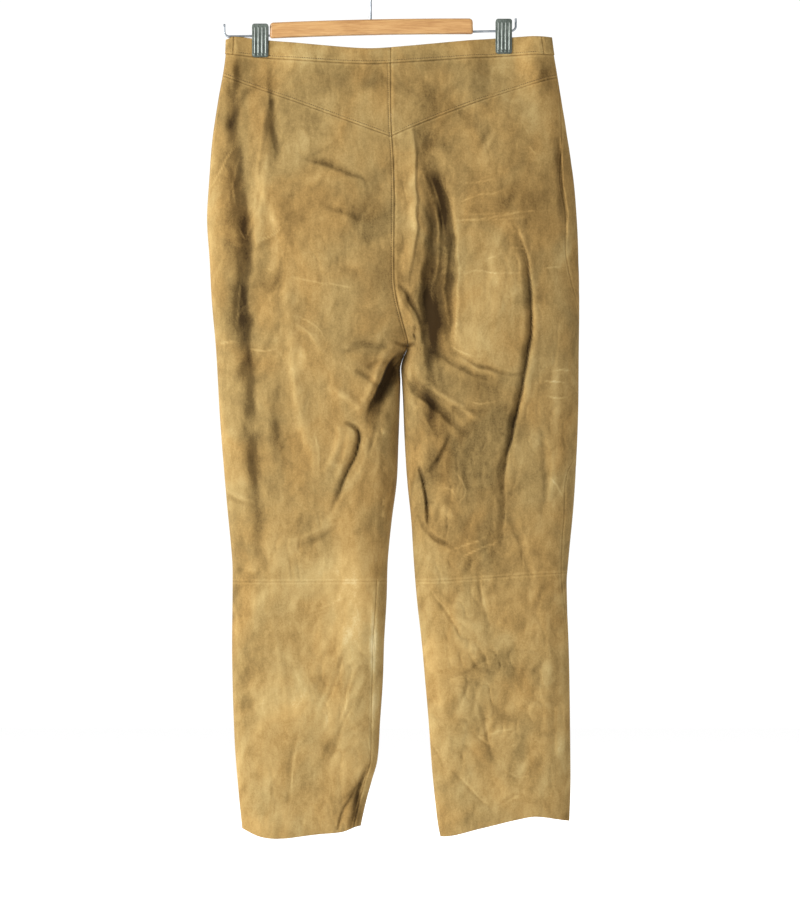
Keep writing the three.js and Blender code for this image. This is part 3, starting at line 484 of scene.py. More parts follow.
left_shin_folds = [
    Fold(6, 7, (347, 650, -1.4), (338, 672, -3), (332, 690, -3), (324, 712, -1.4), sharp=0.2),
    Fold(4, 5, (353, 662, -1.2), (347, 685, -2.5), (343, 705, -2.4), (339, 722, -1.2), sharp=0.3),
    Fold(5, 6, (353, 698, -1.2), (345, 720, -2.5), (338, 740, -2.4), (329, 762, -1.2), sharp=0.2),
    Fold(4, 6, (370, 763, -2), (362, 778, -4), (352, 790, -4), (342, 801, -2), sharp=0.3),
    Fold(5, 8, (366, 785, 1), (357, 800, 2), (350, 815, 1.4)),
    Fold(14, 12, (246, 590, -1), (250, 640, -2), (248, 690, -2), (252, 740, -1)),
    Fold(8, 8, (268, 600, 0.8), (276, 640, 1.4), (286, 690, 1.4), (290, 740, 0.8)),
    Fold(10, 10, (330, 590, 0.8), (322, 630, 1.6), (312, 680, 1.2)),
    Fold(6, 6, (300, 720, -0.8), (292, 760, -1.6), (290, 800, -1)),
]

PRESSED_CONTRAST = 1.6


def pressed_line(width, tone, *points):
    return Fold(width, width, *points, tone=tone * PRESSED_CONTRAST)


# Lines where the hide was pressed, on both sides of the seat and thigh
pressed_lines = [
    pressed_line(1.6, 0.16, (450, 223, 0.3), (490, 219, 0.4), (518, 214, 0.3)),
    pressed_line(1.6, 0.12, (460, 216, 0.3), (500, 215, 0.4), (552, 212, 0.3)),
    pressed_line(1.6, 0.12, (447, 222, -0.2), (500, 221, -0.3), (540, 218, -0.2)),
    pressed_line(1.6, 0.14, (454, 203, 0.3), (480, 197, 0.4), (507, 192, 0.3)),
    pressed_line(1.6, 0.12, (460, 187, 0.2), (485, 183, 0.3), (500, 180, 0.2)),
    pressed_line(1.6, 0.18, (455, 273.5, 0.3), (490, 273, 0.4), (528, 275, 0.3)),
    pressed_line(1.4, 0.2, (509, 249, 0.3), (518, 249, 0.4), (527, 250, 0.3)),
    pressed_line(1.6, 0.2, (544, 269, 0.3), (552, 269.5, 0.4), (560, 268, 0.3)),
    pressed_line(1.6, 0.14, (482, 262, 0.3), (492, 257, 0.4), (503, 253, 0.3)),
    pressed_line(1.8, 0.22, (209, 189, 0.5), (222, 169, 0.9), (238, 144, 0.5)),
    pressed_line(1.6, 0, (211, 184, -0.3), (222, 165, -0.5), (234, 147, -0.3)),
    pressed_line(1.5, 0.14, (258, 269, 0.3), (266, 270, 0.4), (275, 270, 0.3)),
    pressed_line(1.5, 0.13, (290, 278, 0.3), (325, 284, 0.4), (358, 289, 0.3)),
    pressed_line(1.8, 0.14, (295, 317, 0.3), (310, 323, 0.5), (320, 332, 0.5), (326, 344, 0.3)),
    pressed_line(1.8, 0.12, (296, 325, 0.3), (306, 332, 0.4), (315, 343, 0.3)),
    pressed_line(2, 0.12, (253, 300, 0.4), (239, 318, 0.5), (236, 340, 0.4)),
    pressed_line(2, 0.2, (528, 147, 0.3), (531, 152, 0.6), (536, 155, 0.3)),
    pressed_line(1.8, 0.2, (456, 240, 0.2), (458, 275, 0.3), (456, 320, 0.3), (455, 352, 0.2)),
    pressed_line(1.8, 0.2, (449, 345, 0.3), (460, 352, 0.3), (474, 357, 0.2)),
    pressed_line(1.6, 0.3, (541, 381, 0.3), (552, 383, 0.3), (565, 382, 0.2)),
    pressed_line(1.6, 0.26, (545, 396, 0.3), (556, 398, 0.3), (566, 397, 0.2)),
    pressed_line(1.6, 0.22, (548, 372, 0.2), (560, 370, 0.3), (572, 371, 0.2)),
    pressed_line(1.8, 0.2, (217, 345, 0.3), (228, 342, 0.3), (240, 343, 0.2)),
    pressed_line(1.8, 0.2, (250, 350, 0.3), (264, 351, 0.3), (278, 349, 0.2)),
    pressed_line(1.8, 0.24, (257, 242, 0.3), (272, 238, 0.3), (284, 226, 0.2)),
    pressed_line(1.6, 0.2, (470, 402, 0.3), (484, 404, 0.3), (498, 402, 0.2)),
    pressed_line(1.6, 0.2, (548, 478, 0.2), (556, 486, 0.4), (563, 497, 0.2)),
    pressed_line(1.8, 0.2, (452, 470, 0.2), (462, 480, 0.5), (466, 492, 0.5), (460, 503, 0.2)),
    pressed_line(1.8, 0.16, (442, 487, 0.2), (452, 490, 0.5), (458, 498, 0.3)),
    pressed_line(1.8, 0.2, (460, 560, 0.2), (478, 548, 0.5), (498, 540, 0.3)),
    pressed_line(1.8, 0.16, (445, 552, 0.2), (466, 545, 0.5), (486, 535, 0.3)),
    pressed_line(1.8, 0.2, (313, 430, 0.2), (318, 448, 0.4), (320, 470, 0.3)),
    pressed_line(2, 0.08, (305, 612, 0.2), (330, 604, 0.4), (352, 590, 0.2)),
]

# The shins' creases are shallow, with a thin lighter line on each one's lit side: rubbed nap and a painted
# highlight
SHIN_CALM = 0.5
WORN_HIGHLIGHT_WIDTH = 2.4
WORN_HIGHLIGHT_ASIDE = 2.2
WORN_HIGHLIGHT_TONE = 0.2
NARROW_FOLD = 8
worn_and_highlight_lines = []
for fold in right_shin_folds + left_shin_folds:
    fold.height = fold.height * SHIN_CALM
    if fold.near < NARROW_FOLD:
        worn_and_highlight = copy.copy(fold)
        worn_and_highlight.near = worn_and_highlight.far = WORN_HIGHLIGHT_WIDTH
        worn_and_highlight.x = fold.x + WORN_HIGHLIGHT_ASIDE
        worn_and_highlight.height = np.zeros(len(fold.height))
        worn_and_highlight.tone = WORN_HIGHLIGHT_TONE
        worn_and_highlight_lines.append(worn_and_highlight)


def streak(near, far, tone, *points):
    return Fold(near, far, *[(*point, 0) for point in points], tone=tone)


# Long streaks of tone with no height of their own: the nap's own streaks, with painted shade in the dark ones
# down the troughs and painted highlights in light ones along the ridges
nap_and_shade_streaks = [
    streak(6, 12, -0.4, (238, 50), (236, 80), (234, 110), (230, 150)),
    streak(4, 8, -0.3, (271, 55), (269, 90), (273, 125), (276, 165)),
    streak(3, 5, -0.2, (267, 100), (264, 130), (259, 180), (254, 240)),
    streak(10, 14, -0.34, (424, 288), (430, 310), (434, 335), (432, 360)),
    streak(2, 6, -0.2, (447, 205), (452, 230), (453, 270), (449, 300)),
    streak(7, 10, -0.12, (524, 232), (535, 290), (536, 350)),
    streak(24, 10, -0.36, (232, 100), (239, 170), (245, 210), (248, 240), (250, 262), (250, 300),
           (248, 350)),
    streak(22, 20, -0.3, (244, 260), (246, 300), (247, 340), (249, 380), (252, 420), (256, 470), (259, 520),
           (262, 570)),
    streak(9, 6, -0.12, (239, 165), (244, 200), (247, 225), (248, 250)),
    streak(8, 9, -0.14, (245, 300), (247, 330), (249, 365), (251, 400)),
    streak(1.8, 1.8, 0.3, (240, 155), (237, 172), (234, 190), (236, 208)),
    streak(1.8, 1.8, 0.34, (252, 222), (249, 232), (246, 240)),
    streak(1.8, 1.8, 0.26, (239, 228), (243, 236), (246, 240)),
    streak(2, 2, 0.28, (242, 276), (240, 300), (239, 330)),
    streak(14, 16, -0.3, (272, 345), (273, 400), (277, 440), (282, 475)),
    streak(9, 9, 0.26, (272, 190), (276, 235), (272, 290)),
    streak(8, 10, 0.18, (296, 290), (300, 340), (304, 400)),
    streak(12, 16, -0.26, (416, 118), (425, 150), (434, 185), (444, 225), (448, 260)),
    streak(24, 16, -0.26, (432, 150), (443, 212), (448, 250), (447, 300), (446, 330), (444, 370)),
    streak(16, 16, -0.5, (421, 340), (426, 375), (430, 410), (424, 445)),
    streak(2.4, 2.4, 0.34, (426, 170), (433, 190), (440, 212), (444, 235), (441, 262)),
    streak(1.8, 1.8, 0.24, (441, 176), (446, 196), (452, 216)),
    streak(4, 5, 0.3, (428, 180), (436, 215), (438, 250), (434, 280)),
    streak(5, 5, 0.16, (418, 215), (422, 250), (419, 280), (418, 300)),
    streak(3, 3, 0.2, (448, 262), (444, 290), (447, 320), (446, 342)),
    streak(1.8, 1.8, 0.2, (437, 262), (432, 290), (434, 318)),
    streak(8, 10, 0.22, (552, 330), (555, 390), (554, 460), (550, 520)),
    streak(9, 12, 0.35, (372, 590), (374, 650), (372, 720), (366, 760)),
    streak(9, 10, 0.25, (556, 580), (560, 660), (560, 740), (562, 800)),
]

back_folds = (
    left_back_folds + left_seat_folds + right_trough_folds + right_back_folds
    + right_shin_folds + left_shin_folds + pressed_lines
)


def front_fold(near, far, *points, **more):
    """A fold of the front, along points of (x, drop, height)."""
    seen = []
    for x, drop, height in points:
        right = x / MM_PER_PIXEL + HOOK_COLUMN
        down = (drop - LEVEL_DROP) / MM_PER_PIXEL + LEVEL_ROW
        seen.append((right, down, height))
    return Fold(near, far, *seen, **more)


# The front hangs flatter than the back: whiskers from the crotch, broad ridges down the legs and
# cross folds at the knees
front_folds = [
    front_fold(18, 18, (-20, 440, -3), (-60, 415, -5), (-110, 400, -1)),
    front_fold(18, 18, (72, 442, -3), (112, 420, -5), (160, 408, -1)),
    front_fold(16, 20, (-30, 480, -3), (-70, 470, -4), (-120, 474, -1)),
    front_fold(16, 20, (86, 485, -3), (130, 474, -4), (190, 480, -1)),
    front_fold(22, 22, (-140, 210, -1), (-134, 330, -4), (-120, 430, -2)),
    front_fold(22, 22, (196, 220, -1), (190, 330, -5), (172, 440, -2)),
    front_fold(24, 24, (-70, 520, 2), (-84, 620, 5), (-92, 740, 3)),
    front_fold(24, 24, (150, 530, 2), (152, 640, 5), (150, 740, 3)),
    front_fold(16, 16, (-150, 740, -1), (-100, 762, -4), (-40, 748, -2)),
    front_fold(16, 16, (80, 745, -1), (130, 760, -4), (200, 742, -2)),
    front_fold(16, 16, (-148, 830, -1), (-96, 842, -4), (-30, 826, -2)),
    front_fold(16, 16, (90, 828, -1), (150, 846, -4), (220, 830, -2)),
    front_fold(18, 18, (-60, 880, -2), (-84, 960, -4), (-110, 1040, -2)),
    front_fold(18, 18, (150, 890, -2), (170, 960, -4), (196, 1040, -2)),
    front_fold(5, 8, (20, 410, -1), (-8, 396, -2.6), (-44, 388, -1), sharp=0.3),
    front_fold(5, 8, (40, 412, -1), (66, 398, -2.6), (104, 392, -1), sharp=0.3),
    front_fold(5, 7, (10, 455, -1.4), (-30, 448, -2.4), (-62, 452, -1), sharp=0.3),
    front_fold(5, 7, (60, 458, -1.4), (96, 450, -2.4), (132, 456, -1), sharp=0.3),
    front_fold(6, 6, (-36, 520, -1), (-60, 540, -2.4), (-70, 575, -1)),
    front_fold(6, 6, (110, 525, -1), (124, 548, -2.4), (126, 585, -1)),
    front_fold(6, 5, (-160, 770, -0.8), (-120, 786, -2), (-70, 778, -0.8), sharp=0.3),
    front_fold(6, 5, (90, 800, -0.8), (140, 812, -2), (196, 802, -0.8), sharp=0.3),
    front_fold(7, 7, (-30, 700, -0.8), (-52, 720, -2.2), (-84, 724, -0.8)),
    front_fold(7, 7, (90, 690, -0.8), (118, 708, -2.2), (158, 706, -0.8)),
    front_fold(7, 9, (-140, 900, -0.8), (-120, 950, -2), (-124, 1000, -0.8)),
    front_fold(7, 9, (214, 880, -0.8), (206, 940, -2), (216, 1000, -0.8)),
]

# Patches of the back that are darker or lighter: the hide's own colour, with painted shade in hollows and
# painted light near lit edges. As pixels of the photograph: middle, half width, half height and tone
back_tone_and_shade_patches = [
    (305, 78, 30, 18, -0.14),
    (372, 84, 22, 20, -0.12),
    (450, 66, 34, 8, -0.1),
    (412, 250, 6, 60, 0.1),
    (488, 292, 30, 56, 0.2),
    (512, 203, 50, 18, -0.18),
    (352, 660, 12, 70, 0.2),
    (350, 770, 12, 30, 0.16),
    (300, 52, 60, 8, 0.12),
    (470, 50, 70, 8, 0.1),
    (225, 190, 14, 60, -0.24),
    (365, 225, 38, 26, -0.2),
    (388, 262, 18, 30, -0.22),
    (490, 222, 26, 14, -0.2),
    (475, 385, 36, 16, -0.25),
    (490, 420, 36, 20, -0.25),
    (320, 565, 64, 32, 0.24),
    (340, 690, 30, 60, 0.12),
    (262, 760, 20, 60, 0.1),
    (480, 100, 30, 18, 0.16),
    (448, 142, 14, 18, -0.16),
    (252, 62, 9, 12, -0.2),
    (545, 530, 16, 40, 0.12),
    (440, 560, 30, 20, 0.1),
    (345, 75, 26, 16, -0.28),
    (300, 150, 22, 14, 0.14),
    (330, 60, 40, 10, 0.1),
    (262, 200, 10, 60, 0.2),
    (215, 230, 8, 70, 0.22),
    (236, 260, 14, 90, -0.14),
    (340, 190, 24, 24, -0.12),
    (372, 230, 14, 60, -0.05),
    (430, 98, 17, 30, -0.34),
    (470, 110, 30, 18, -0.16),
    (430, 60, 24, 10, -0.12),
    (545, 82, 8, 18, -0.36),
    (530, 70, 12, 18, -0.1),
    (500, 150, 36, 26, 0.02),
    (427, 215, 14, 60, -0.16),
    (426, 300, 17, 40, -0.3),
    (500, 215, 34, 22, 0.06),
    (480, 335, 24, 30, 0.1),
    (560, 300, 12, 80, 0.06),
    (560, 420, 12, 60, -0.06),
    (480, 470, 40, 60, -0.2),
    (440, 440, 20, 60, -0.16),
    (520, 240, 40, 12, -0.1),
    (480, 560, 50, 30, -0.1),
    (300, 360, 26, 60, 0.04),
    (320, 450, 20, 30, -0.1),
    (375, 430, 12, 60, 0.02),
    (245, 480, 12, 8, 0.3),
    (240, 560, 14, 40, -0.2),
    (290, 600, 40, 18, 0.16),
    (290, 680, 34, 60, 0.16),
    (345, 620, 18, 40, 0.28),
    (340, 740, 18, 40, 0.06),
    (300, 700, 10, 20, 0.2),
    (330, 745, 8, 8, -0.2),
    (293, 635, 8, 7, -0.16),
    (245, 650, 10, 50, -0.1),
    (356, 805, 8, 22, -0.5),
    (290, 815, 50, 12, 0.1),
    (470, 590, 40, 16, 0.1),
    (480, 680, 40, 50, 0.08),
    (545, 650, 14, 60, -0.08),
    (455, 760, 20, 40, 0.06),
    (530, 760, 24, 40, 0.02),
    (500, 660, 20, 16, -0.12),
    (520, 720, 16, 16, -0.14),
]


# The front's guessed folds get fainter painted shade and light than the back's, and its noise is read
# elsewhere
FRONT_SHADED = 0.35
FRONT_SHIFT = 900

# Unevenness of the cloth, each as (amount, size of its lumps in mm, seed)
BEND_X = (1.7, 19, 41)
BEND_DROP = (1.7, 19, 42)
WANDER = (9, 40, 11)
CRUMPLED = (1, 70, 12)
SWELLS = (0.9, 46, 1)
DENTS = (0.4, 24, 2)
LONG_CREASES = (1, 17, 3)
FINE_CREASES = (1, 9, 5)
FINE_BEND = (4, 20, 4)
RAGGED_FINE = (0.7, 11, 31)
RAGGED_WIDE = (0.5, 26, 32)
BRUSHED_LINES = (1, 9, 33)
BRUSHED_PLACES = (1, 34, 34)
PUCKER = (0.45, 7, 21)

# Creases, each as (depth in mm, share of the noise's range that it takes)
LONG_CREASE = (0.9, 0.28)
FINE_CREASE = (0.32, 0.3)

# Places of the back where creases lie thickest: x, drop, half width, half height and how much more
busy_places = [
    (140, 890, 75, 150, 1.1),
    (80, 610, 60, 110, 0.77),
    (-45, 950, 40, 110, 0.77),
]

# The tone is lighter below one stretch of drops, and the nap more brushed below another
LIGHTER_BELOW = (700, 860)
BRUSHED_BELOW = (640, 800)
# Tone for each mm of height: painted shade in troughs, dents and creases, painted light on ridges and swells
HEIGHT_PAINTED_SHADE = 0.03


def uneven(kind, x, drop):
    amount, size, seed = kind
    return amount * noise(x, drop, size, seed)


def crease(kind, value):
    """A trough along the lines where a noise crosses nought."""
    depth, share = kind
    return depth * np.maximum(0, share - np.abs(value)) / share


def spot(x, drop, middle_x, middle_drop, half_wide, half_high):
    """A soft oval: 1 in its middle, fading past its half width and half height."""
    off_x = (x - middle_x) / half_wide
    off_drop = (drop - middle_drop) / half_high
    return np.exp(-(off_x**2) - off_drop**2)


def small_relief(face, x, moved_x, drop):
    """Height of the swells, dents and creases all over the cloth. moved_x is where noise is read, and a
    factor on x or drop draws its lumps out that way."""
    wander = moved_x + uneven(WANDER, moved_x, drop)
    crumpled = 0.35 + 0.65 * smoothstep(uneven(CRUMPLED, moved_x, drop), -0.3, 0.7)
    if face == "back":
        for *place, more in busy_places:
            crumpled += more * spot(x, drop, *place)
    height = uneven(SWELLS, moved_x, drop) + uneven(DENTS, wander, drop)
    height -= crumpled * crease(LONG_CREASE, uneven(LONG_CREASES, wander, drop * 0.8))
    bent_drop = drop + uneven(FINE_BEND, x, drop)
    height -= crumpled * crease(FINE_CREASE, uneven(FINE_CREASES, wander * 0.9, bent_drop))
    return height


def nap_and_shade_tone(x, drop, bent_x, bent_drop):
    """Tone of the back: the nap's streaks, brushed lines and patches, with painted shade and painted
    highlights among the streaks, beside the shins' creases and in the patches.
    """
    flat = np.zeros(len(x))
    streaks = np.zeros(len(x))
    for line in nap_and_shade_streaks + worn_and_highlight_lines:
        line.raise_cloth(bent_x, bent_drop, flat, streaks)
    ragged = 1 + uneven(RAGGED_FINE, x, drop * 0.5) + uneven(RAGGED_WIDE, x, drop * 0.6)
    tone = streaks * ragged.clip(0.1, 1.9)
    tone += 0.05 * smoothstep(drop, *LIGHTER_BELOW)
    brushed = uneven(BRUSHED_LINES, x + 0.5 * drop, 0.35 * drop) * uneven(BRUSHED_PLACES, x, drop)
    tone += (0.16 + 0.08 * smoothstep(drop, *BRUSHED_BELOW)) * brushed
    for right, down, half_wide, half_high, light in back_tone_and_shade_patches:
        middle = from_photo(right, down)
        tone += light * spot(x, drop, *middle, half_wide * MM_PER_PIXEL, half_high * MM_PER_PIXEL)
    return tone


def relief(face, x, drop):
    """How far the cloth stands out from its smooth round at each place on a face, and its tone."""
    height = np.zeros(len(x))
    tone = np.zeros(len(x))
    moved_x = x if face == "back" else x + FRONT_SHIFT
    bent_x = x + uneven(BEND_X, moved_x, drop)
    bent_drop = drop + uneven(BEND_DROP, moved_x, drop)
    for fold in back_folds if face == "back" else front_folds:
        fold.raise_cloth(bent_x, bent_drop, height, tone)
    if face == "front":
        tone *= FRONT_SHADED
    height += small_relief(face, x, moved_x, drop)
    # Painted shade and light from the height
    tone += HEIGHT_PAINTED_SHADE * height.clip(-3, 3)
    if face == "back":
        tone += nap_and_shade_tone(x, drop, bent_x, bent_drop)
    return height, tone


def outer_x(side, drop):
    return read(outline, side, drop)


def inner_x(side, drop):
    seam = read(rise, "x", drop) + (-SEAM_HALF if side == "left" else SEAM_HALF)
    return np.where(np.asarray(drop) > CROTCH_DROP, read(legs, side, drop), seam)


def turned(distance, width):
    """Share of the full depth at a distance from an edge that turns within a width, squared."""
    t = np.clip(distance / width, 0, 1)
    return 2 * t - t * t


CLIP_FLAT = CLIP_WIDTH / 2 + 2.5
CLIP_FADE = 34
PINCH_FADE = (118, 193)


def pinch(x, drop):
    """How firmly the clips press front and back together, from 0 to 1."""
    down = smoothstep(drop, *PINCH_FADE)
    beside = [smoothstep(np.abs(x - clip["x"]), CLIP_FLAT, CLIP_FLAT + CLIP_FADE) for clip in CLIPS.values()]
    return (1 - down) * (1 - np.minimum(*beside))


def cloth(side, way, drop, start):
    """Points on the outside of one half of the garment, and their tone. way runs round it: 0 is the
    outer edge, 0 to 1 the back, 1 the inner edge or the rise seam, and 1 to 2 the front. start is the
    face meant at the rise seam itself."""
    way, drop = np.broadcast_arrays(np.asarray(way, float), np.asarray(drop, float))
    shape = way.shape
    way = way.ravel()
    drop = drop.ravel()
    turn = np.mod(way, 2)
    at_seam = np.abs(turn - 1) < 1e-9
    on_back = np.where(at_seam, start == "back", turn < 1)
    share = (1 - np.cos(math.pi * turn)) / 2
    outer = outer_x(side, drop)
    inner = inner_x(side, drop)
    x = outer + (inner - outer) * share
    across = np.abs(inner - outer)
    split = np.clip((drop - SEAT_START_DROP) / (CROTCH_DROP - SEAT_START_DROP), 0, 1) ** 2
    parted = 1 - split + split * turned(across * (1 - share), read(legs, "turn", drop))
    depth = np.sqrt(turned(across * share, read(outline, "turn", drop)) * parted)
    full = depth * np.where(on_back, read(outline, "back", drop), read(outline, "front", drop))
    pressed = full + (np.minimum(full, PINCHED_DEPTH) - full) * pinch(x, drop)
    height = np.zeros(len(x))
    tone = np.zeros(len(x))
    for face, chosen in (("back", on_back), ("front", ~on_back)):
        if chosen.any():
            height[chosen], tone[chosen] = relief(face, x[chosen], drop[chosen])
    stand = pressed + height * np.minimum(1, pressed / FOLD_FULL_DEPTH)
    sway = np.where(drop > CROTCH_DROP, read(legs, f"{side}Sway", drop), 0)
    y = sway + np.where(on_back, -stand, stand)
    points = np.stack([x, y, -drop], axis=-1).reshape(*shape, 3)
    return points, tone.reshape(shape)


def unit(vectors):
    """The same directions with length 1."""
    return vectors / np.maximum(np.linalg.norm(vectors, axis=-1, keepdims=True), 1e-9)


def directions_out(points, side):
    """The direction out of the cloth at each point of a grid, whose rows run down it."""
    round_it = np.gradient(points, axis=1)
    rising = -np.gradient(points, axis=0)
    out = unit(np.cross(round_it, rising))
    return out if side == "left" else -out


def way_round(side, drop, arc):
    """Where a place so far round the edge lies on the ring."""
    width = np.abs(inner_x(side, drop) - outer_x(side, drop))
    return np.arccos(1 - arc * arc / EDGE_RADIUS / width) / math.pi


def side_seam(side, drop):
    return way_round(side, drop, read(seams, side, drop))


def band_side_seam(side, drop):
    return way_round(side, drop, BAND_SEAMS[side])


def inseam(side, drop):
    below = 1 - way_round(side, drop, read(inseams, side, drop))
    return np.where(np.asarray(drop) <= CROTCH_DROP, 1, below)


def way_at(side, x, drop):
    outer = outer_x(side, drop)
    share = np.clip((x - outer) / (inner_x(side, drop) - outer), 0, 1)
    return np.arccos(1 - 2 * share) / math.pi


# Cross seams and edges, as drops at an x
def yoke_seam(side, x):
    outer = outer_x(side, YOKE_DROP[side])
    t = np.clip((x - outer) / (BACK_RISE_X - outer), 0, 1)
    bow = YOKE_BOW[side] * 4 * t * (1 - t)
    return YOKE_DROP[side] + (YOKE_DROP["centre"] - YOKE_DROP[side]) * t - bow


def knee_seam(side, x):
    outer = outer_x(side, KNEE_DROP["inner"])
    inner = inner_x(side, KNEE_DROP["inner"])
    t = smoothstep((x - outer) / (inner - outer), 0, 1)
    return KNEE_DROP[side] + (KNEE_DROP["inner"] - KNEE_DROP[side]) * t


def band_top(side, x):
    return read(waist, "top", x)


def band_bottom(side, x):
    return read(waist, "bottom", x)


def hem_edge(side, x):
    return read(hem, "drop", x)


def ring_x(side, way, drop):
    outer = outer_x(side, drop)
    return outer + (inner_x(side, drop) - outer) * (1 - np.cos(math.pi * way)) / 2


# Steps in which the drop of a cross seam settles, and points from which a panel's columns are spread
SETTLING_STEPS = 5
PROBE_POINTS = 400


def drop_on(seam, side, way, guess):
    """Drop of a cross seam where the given ways meet it, found by settling on it in a few steps."""
    drop = guess
    for _ in range(SETTLING_STEPS):
        drop = seam(side, ring_x(side, way(drop), drop))
    return drop


def gap_way(side, way, drop, inward):
    """Half a seam's gap, as a length of way. The two small shares keep it short where the ring turns."""
    across = np.abs(inner_x(side, drop) - outer_x(side, drop))
    depth = read(outline, "back", drop)
    rate = math.pi * across / 2 * np.sqrt(np.sin(math.pi * way) ** 2 + (2 * depth / across) ** 2 + 0.02)
    rate = np.maximum(rate, 0.2 * read(outline, "turn", drop))
    return (-SEAM_HALF if inward else SEAM_HALF) / rate


# Edge treatments. Each takes the distance from the panel's edge in mm and gives how far the outside
# stands out there: it rolls in at the edge, swells over the turned-in leather and dips at the stitches.
STITCH_INSET = 3.4


def rolled(distance, depth, width):
    return -depth * (1 - np.clip(distance / width, 0, 1)) ** 2


def swell(distance, height, middle, width):
    return height * np.exp(-(((distance - middle) / width) ** 2))


def plain_seam(distance):
    return rolled(distance, 0.6, 1.3) + swell(distance, 0.3, 4, 2.4)


def faint_seam(distance):
    return rolled(distance, 0.22, 1.0) + swell(distance, 0.12, 3, 2)


def stitched_seam(distance):
    turned_in = swell(distance, 0.45, 2.0, 0.9)
    dip = swell(distance, -0.4, STITCH_INSET, 0.7)
    return rolled(distance, 0.7, 1.1) + turned_in + dip + swell(distance, 0.25, 6, 2)


def open_edge(distance):
    return rolled(distance, 0.45, 0.9)


# Beside a seam there is painted shade along its groove, none at a faint seam, then a painted highlight a
# little way in, and the leather puckers
SEAM_SHADE = 0.1
SEAM_SHADE_WIDTH = 1.1
SEAM_HIGHLIGHT = 0.14
SEAM_HIGHLIGHT_INSET = 2.2
SEAM_HIGHLIGHT_WIDTH = 1.3
PUCKER_REACH = 7
FLESH_SIDE_DARKER = 0.25
EDGE_PLACES = [0, 0.4, 0.9, 1.4, 2.0, 2.7, 3.4, 4.1, 5.2]


def even_places(length, step):
    """Shares of a length, evenly spread with extra places near both ends."""
    close = np.array(EDGE_PLACES)
    middle = np.linspace(close[-1], length - close[-1], max(3, int((length - 2 * close[-1]) / step) + 1))
    places = np.concatenate([close[:-1], middle, length - close[-2::-1]])
    return places / length


def lengths_along(points, axis):
    """Distance along one axis of a grid of points from its first one."""
    steps = np.linalg.norm(np.diff(points, axis=axis), axis=-1)
    start = np.zeros_like(np.take(steps, [0], axis=axis))
    return np.concatenate([start, np.cumsum(steps, axis=axis)], axis=axis)


def new_object(name, points, faces, sharp_angle=55):
    """An object from points in mm, smooth but for the edges sharper than an angle."""
    mesh = bpy.data.meshes.new(name)
    mesh.from_pydata((np.asarray(points) * METRES).tolist(), [], [list(face) for face in faces])
    mesh.validate()
    mesh.shade_smooth()
    mesh.set_sharp_from_angle(angle=math.radians(sharp_angle))
    mesh.update()
    thing = bpy.data.objects.new(name, mesh)
    bpy.context.scene.collection.objects.link(thing)
    return thing


def store(thing, name, values):
    attribute = thing.data.attributes.new(name, "FLOAT", "POINT")
    attribute.data.foreach_set("value", np.asarray(values, np.float32))


def wall_faces(rows, columns, flip):
    """Faces of a closed wall: an outer grid, an inner one and the rim between them."""
    inside = rows * columns
    index = np.arange(inside).reshape(rows, columns)
    corners = [index[:-1, :-1], index[1:, :-1], index[1:, 1:], index[:-1, 1:]]
    outer = np.stack([corner.ravel() for corner in corners], 1)
    faces = [outer, outer[:, [0, 3, 2, 1]] + inside]
    edges = [
        (index[0, :-1], index[0, 1:]),
        (index[-1, 1:], index[-1, :-1]),
        (index[1:, 0], index[:-1, 0]),
        (index[:-1, -1], index[1:, -1]),
    ]
    for first, second in edges:
        faces.append(np.stack([first, second, second + inside, first + inside], 1))
    faces = np.concatenate(faces)
    return faces[:, ::-1] if flip else faces


def wall(name, side, points, tone, proud, thick, edges):
    """A panel of leather from a grid of points on the cloth, which its outside stands off by proud.
    edges are the treatments of its top, bottom, first and last columns. They push it forward or back
    only, so that no gap opens at a seam."""
    out = directions_out(points, side)
    down = lengths_along(points, 0)
    along = lengths_along(points, 1)
    distances = [down, down[-1:] - down, along, along[:, -1:] - along]
    pucker = uneven(PUCKER, points[..., 0] + points[..., 1], -points[..., 2])
    rise_by = np.zeros(tone.shape)
    for distance, edge in zip(distances, edges):
        rise_by += edge(distance)
        if edge is not open_edge:
            # Painted shade along the seam and a painted highlight beside it
            if edge is not faint_seam:
                tone = tone - swell(distance, SEAM_SHADE, 0, SEAM_SHADE_WIDTH)
            tone = tone + swell(distance, SEAM_HIGHLIGHT, SEAM_HIGHLIGHT_INSET, SEAM_HIGHLIGHT_WIDTH)
            rise_by += pucker * np.exp(-distance / PUCKER_REACH)
    outside = points + out * proud
    outside[..., 1] += out[..., 1] * rise_by
    within = points + out * (proud - thick)
    everything = np.concatenate([outside.reshape(-1, 3), within.reshape(-1, 3)])
    thing = new_object(name, everything, wall_faces(*tone.shape, side == "right"))
    store(thing, "tone", np.concatenate([tone.ravel(), tone.ravel() - FLESH_SIDE_DARKER]))
    return thing


def panel(name, side, face, limits, cross, probe, step, proud, thick, edges):
    """A panel between two ways round the ring and two cross seams. probe is the drop at which its
    columns are spread evenly, about a step apart."""
    start, end = limits
    top, bottom = cross
    ways = np.linspace(start(probe), end(probe), PROBE_POINTS)
    sample, _ = cloth(side, ways, np.full(PROBE_POINTS, float(probe)), face)
    length = lengths_along(sample, 0)
    shares = even_places(length[-1], step)
    across = (np.interp(shares * length[-1], length, ways) - ways[0]) / (ways[-1] - ways[0])

    def way(drop):
        first = start(drop)
        return first + (end(drop) - first) * across

    guess = np.full(across.shape, float(probe))
    highest = drop_on(top, side, way, guess) + SEAM_HALF
    lowest = drop_on(bottom, side, way, guess) - SEAM_HALF
    down = even_places(float(np.mean(lowest - highest)), step)
    drops = highest + (lowest - highest) * down[:, None]
    points, tone = cloth(side, way(drops), drops, face)
    return wall(name, side, points, tone, proud, thick, edges)


# Limits of the panels: each gives the way at a drop
def after_side(side, seam=side_seam):
    return lambda drop: seam(side, drop) + gap_way(side, seam(side, drop), drop, False)


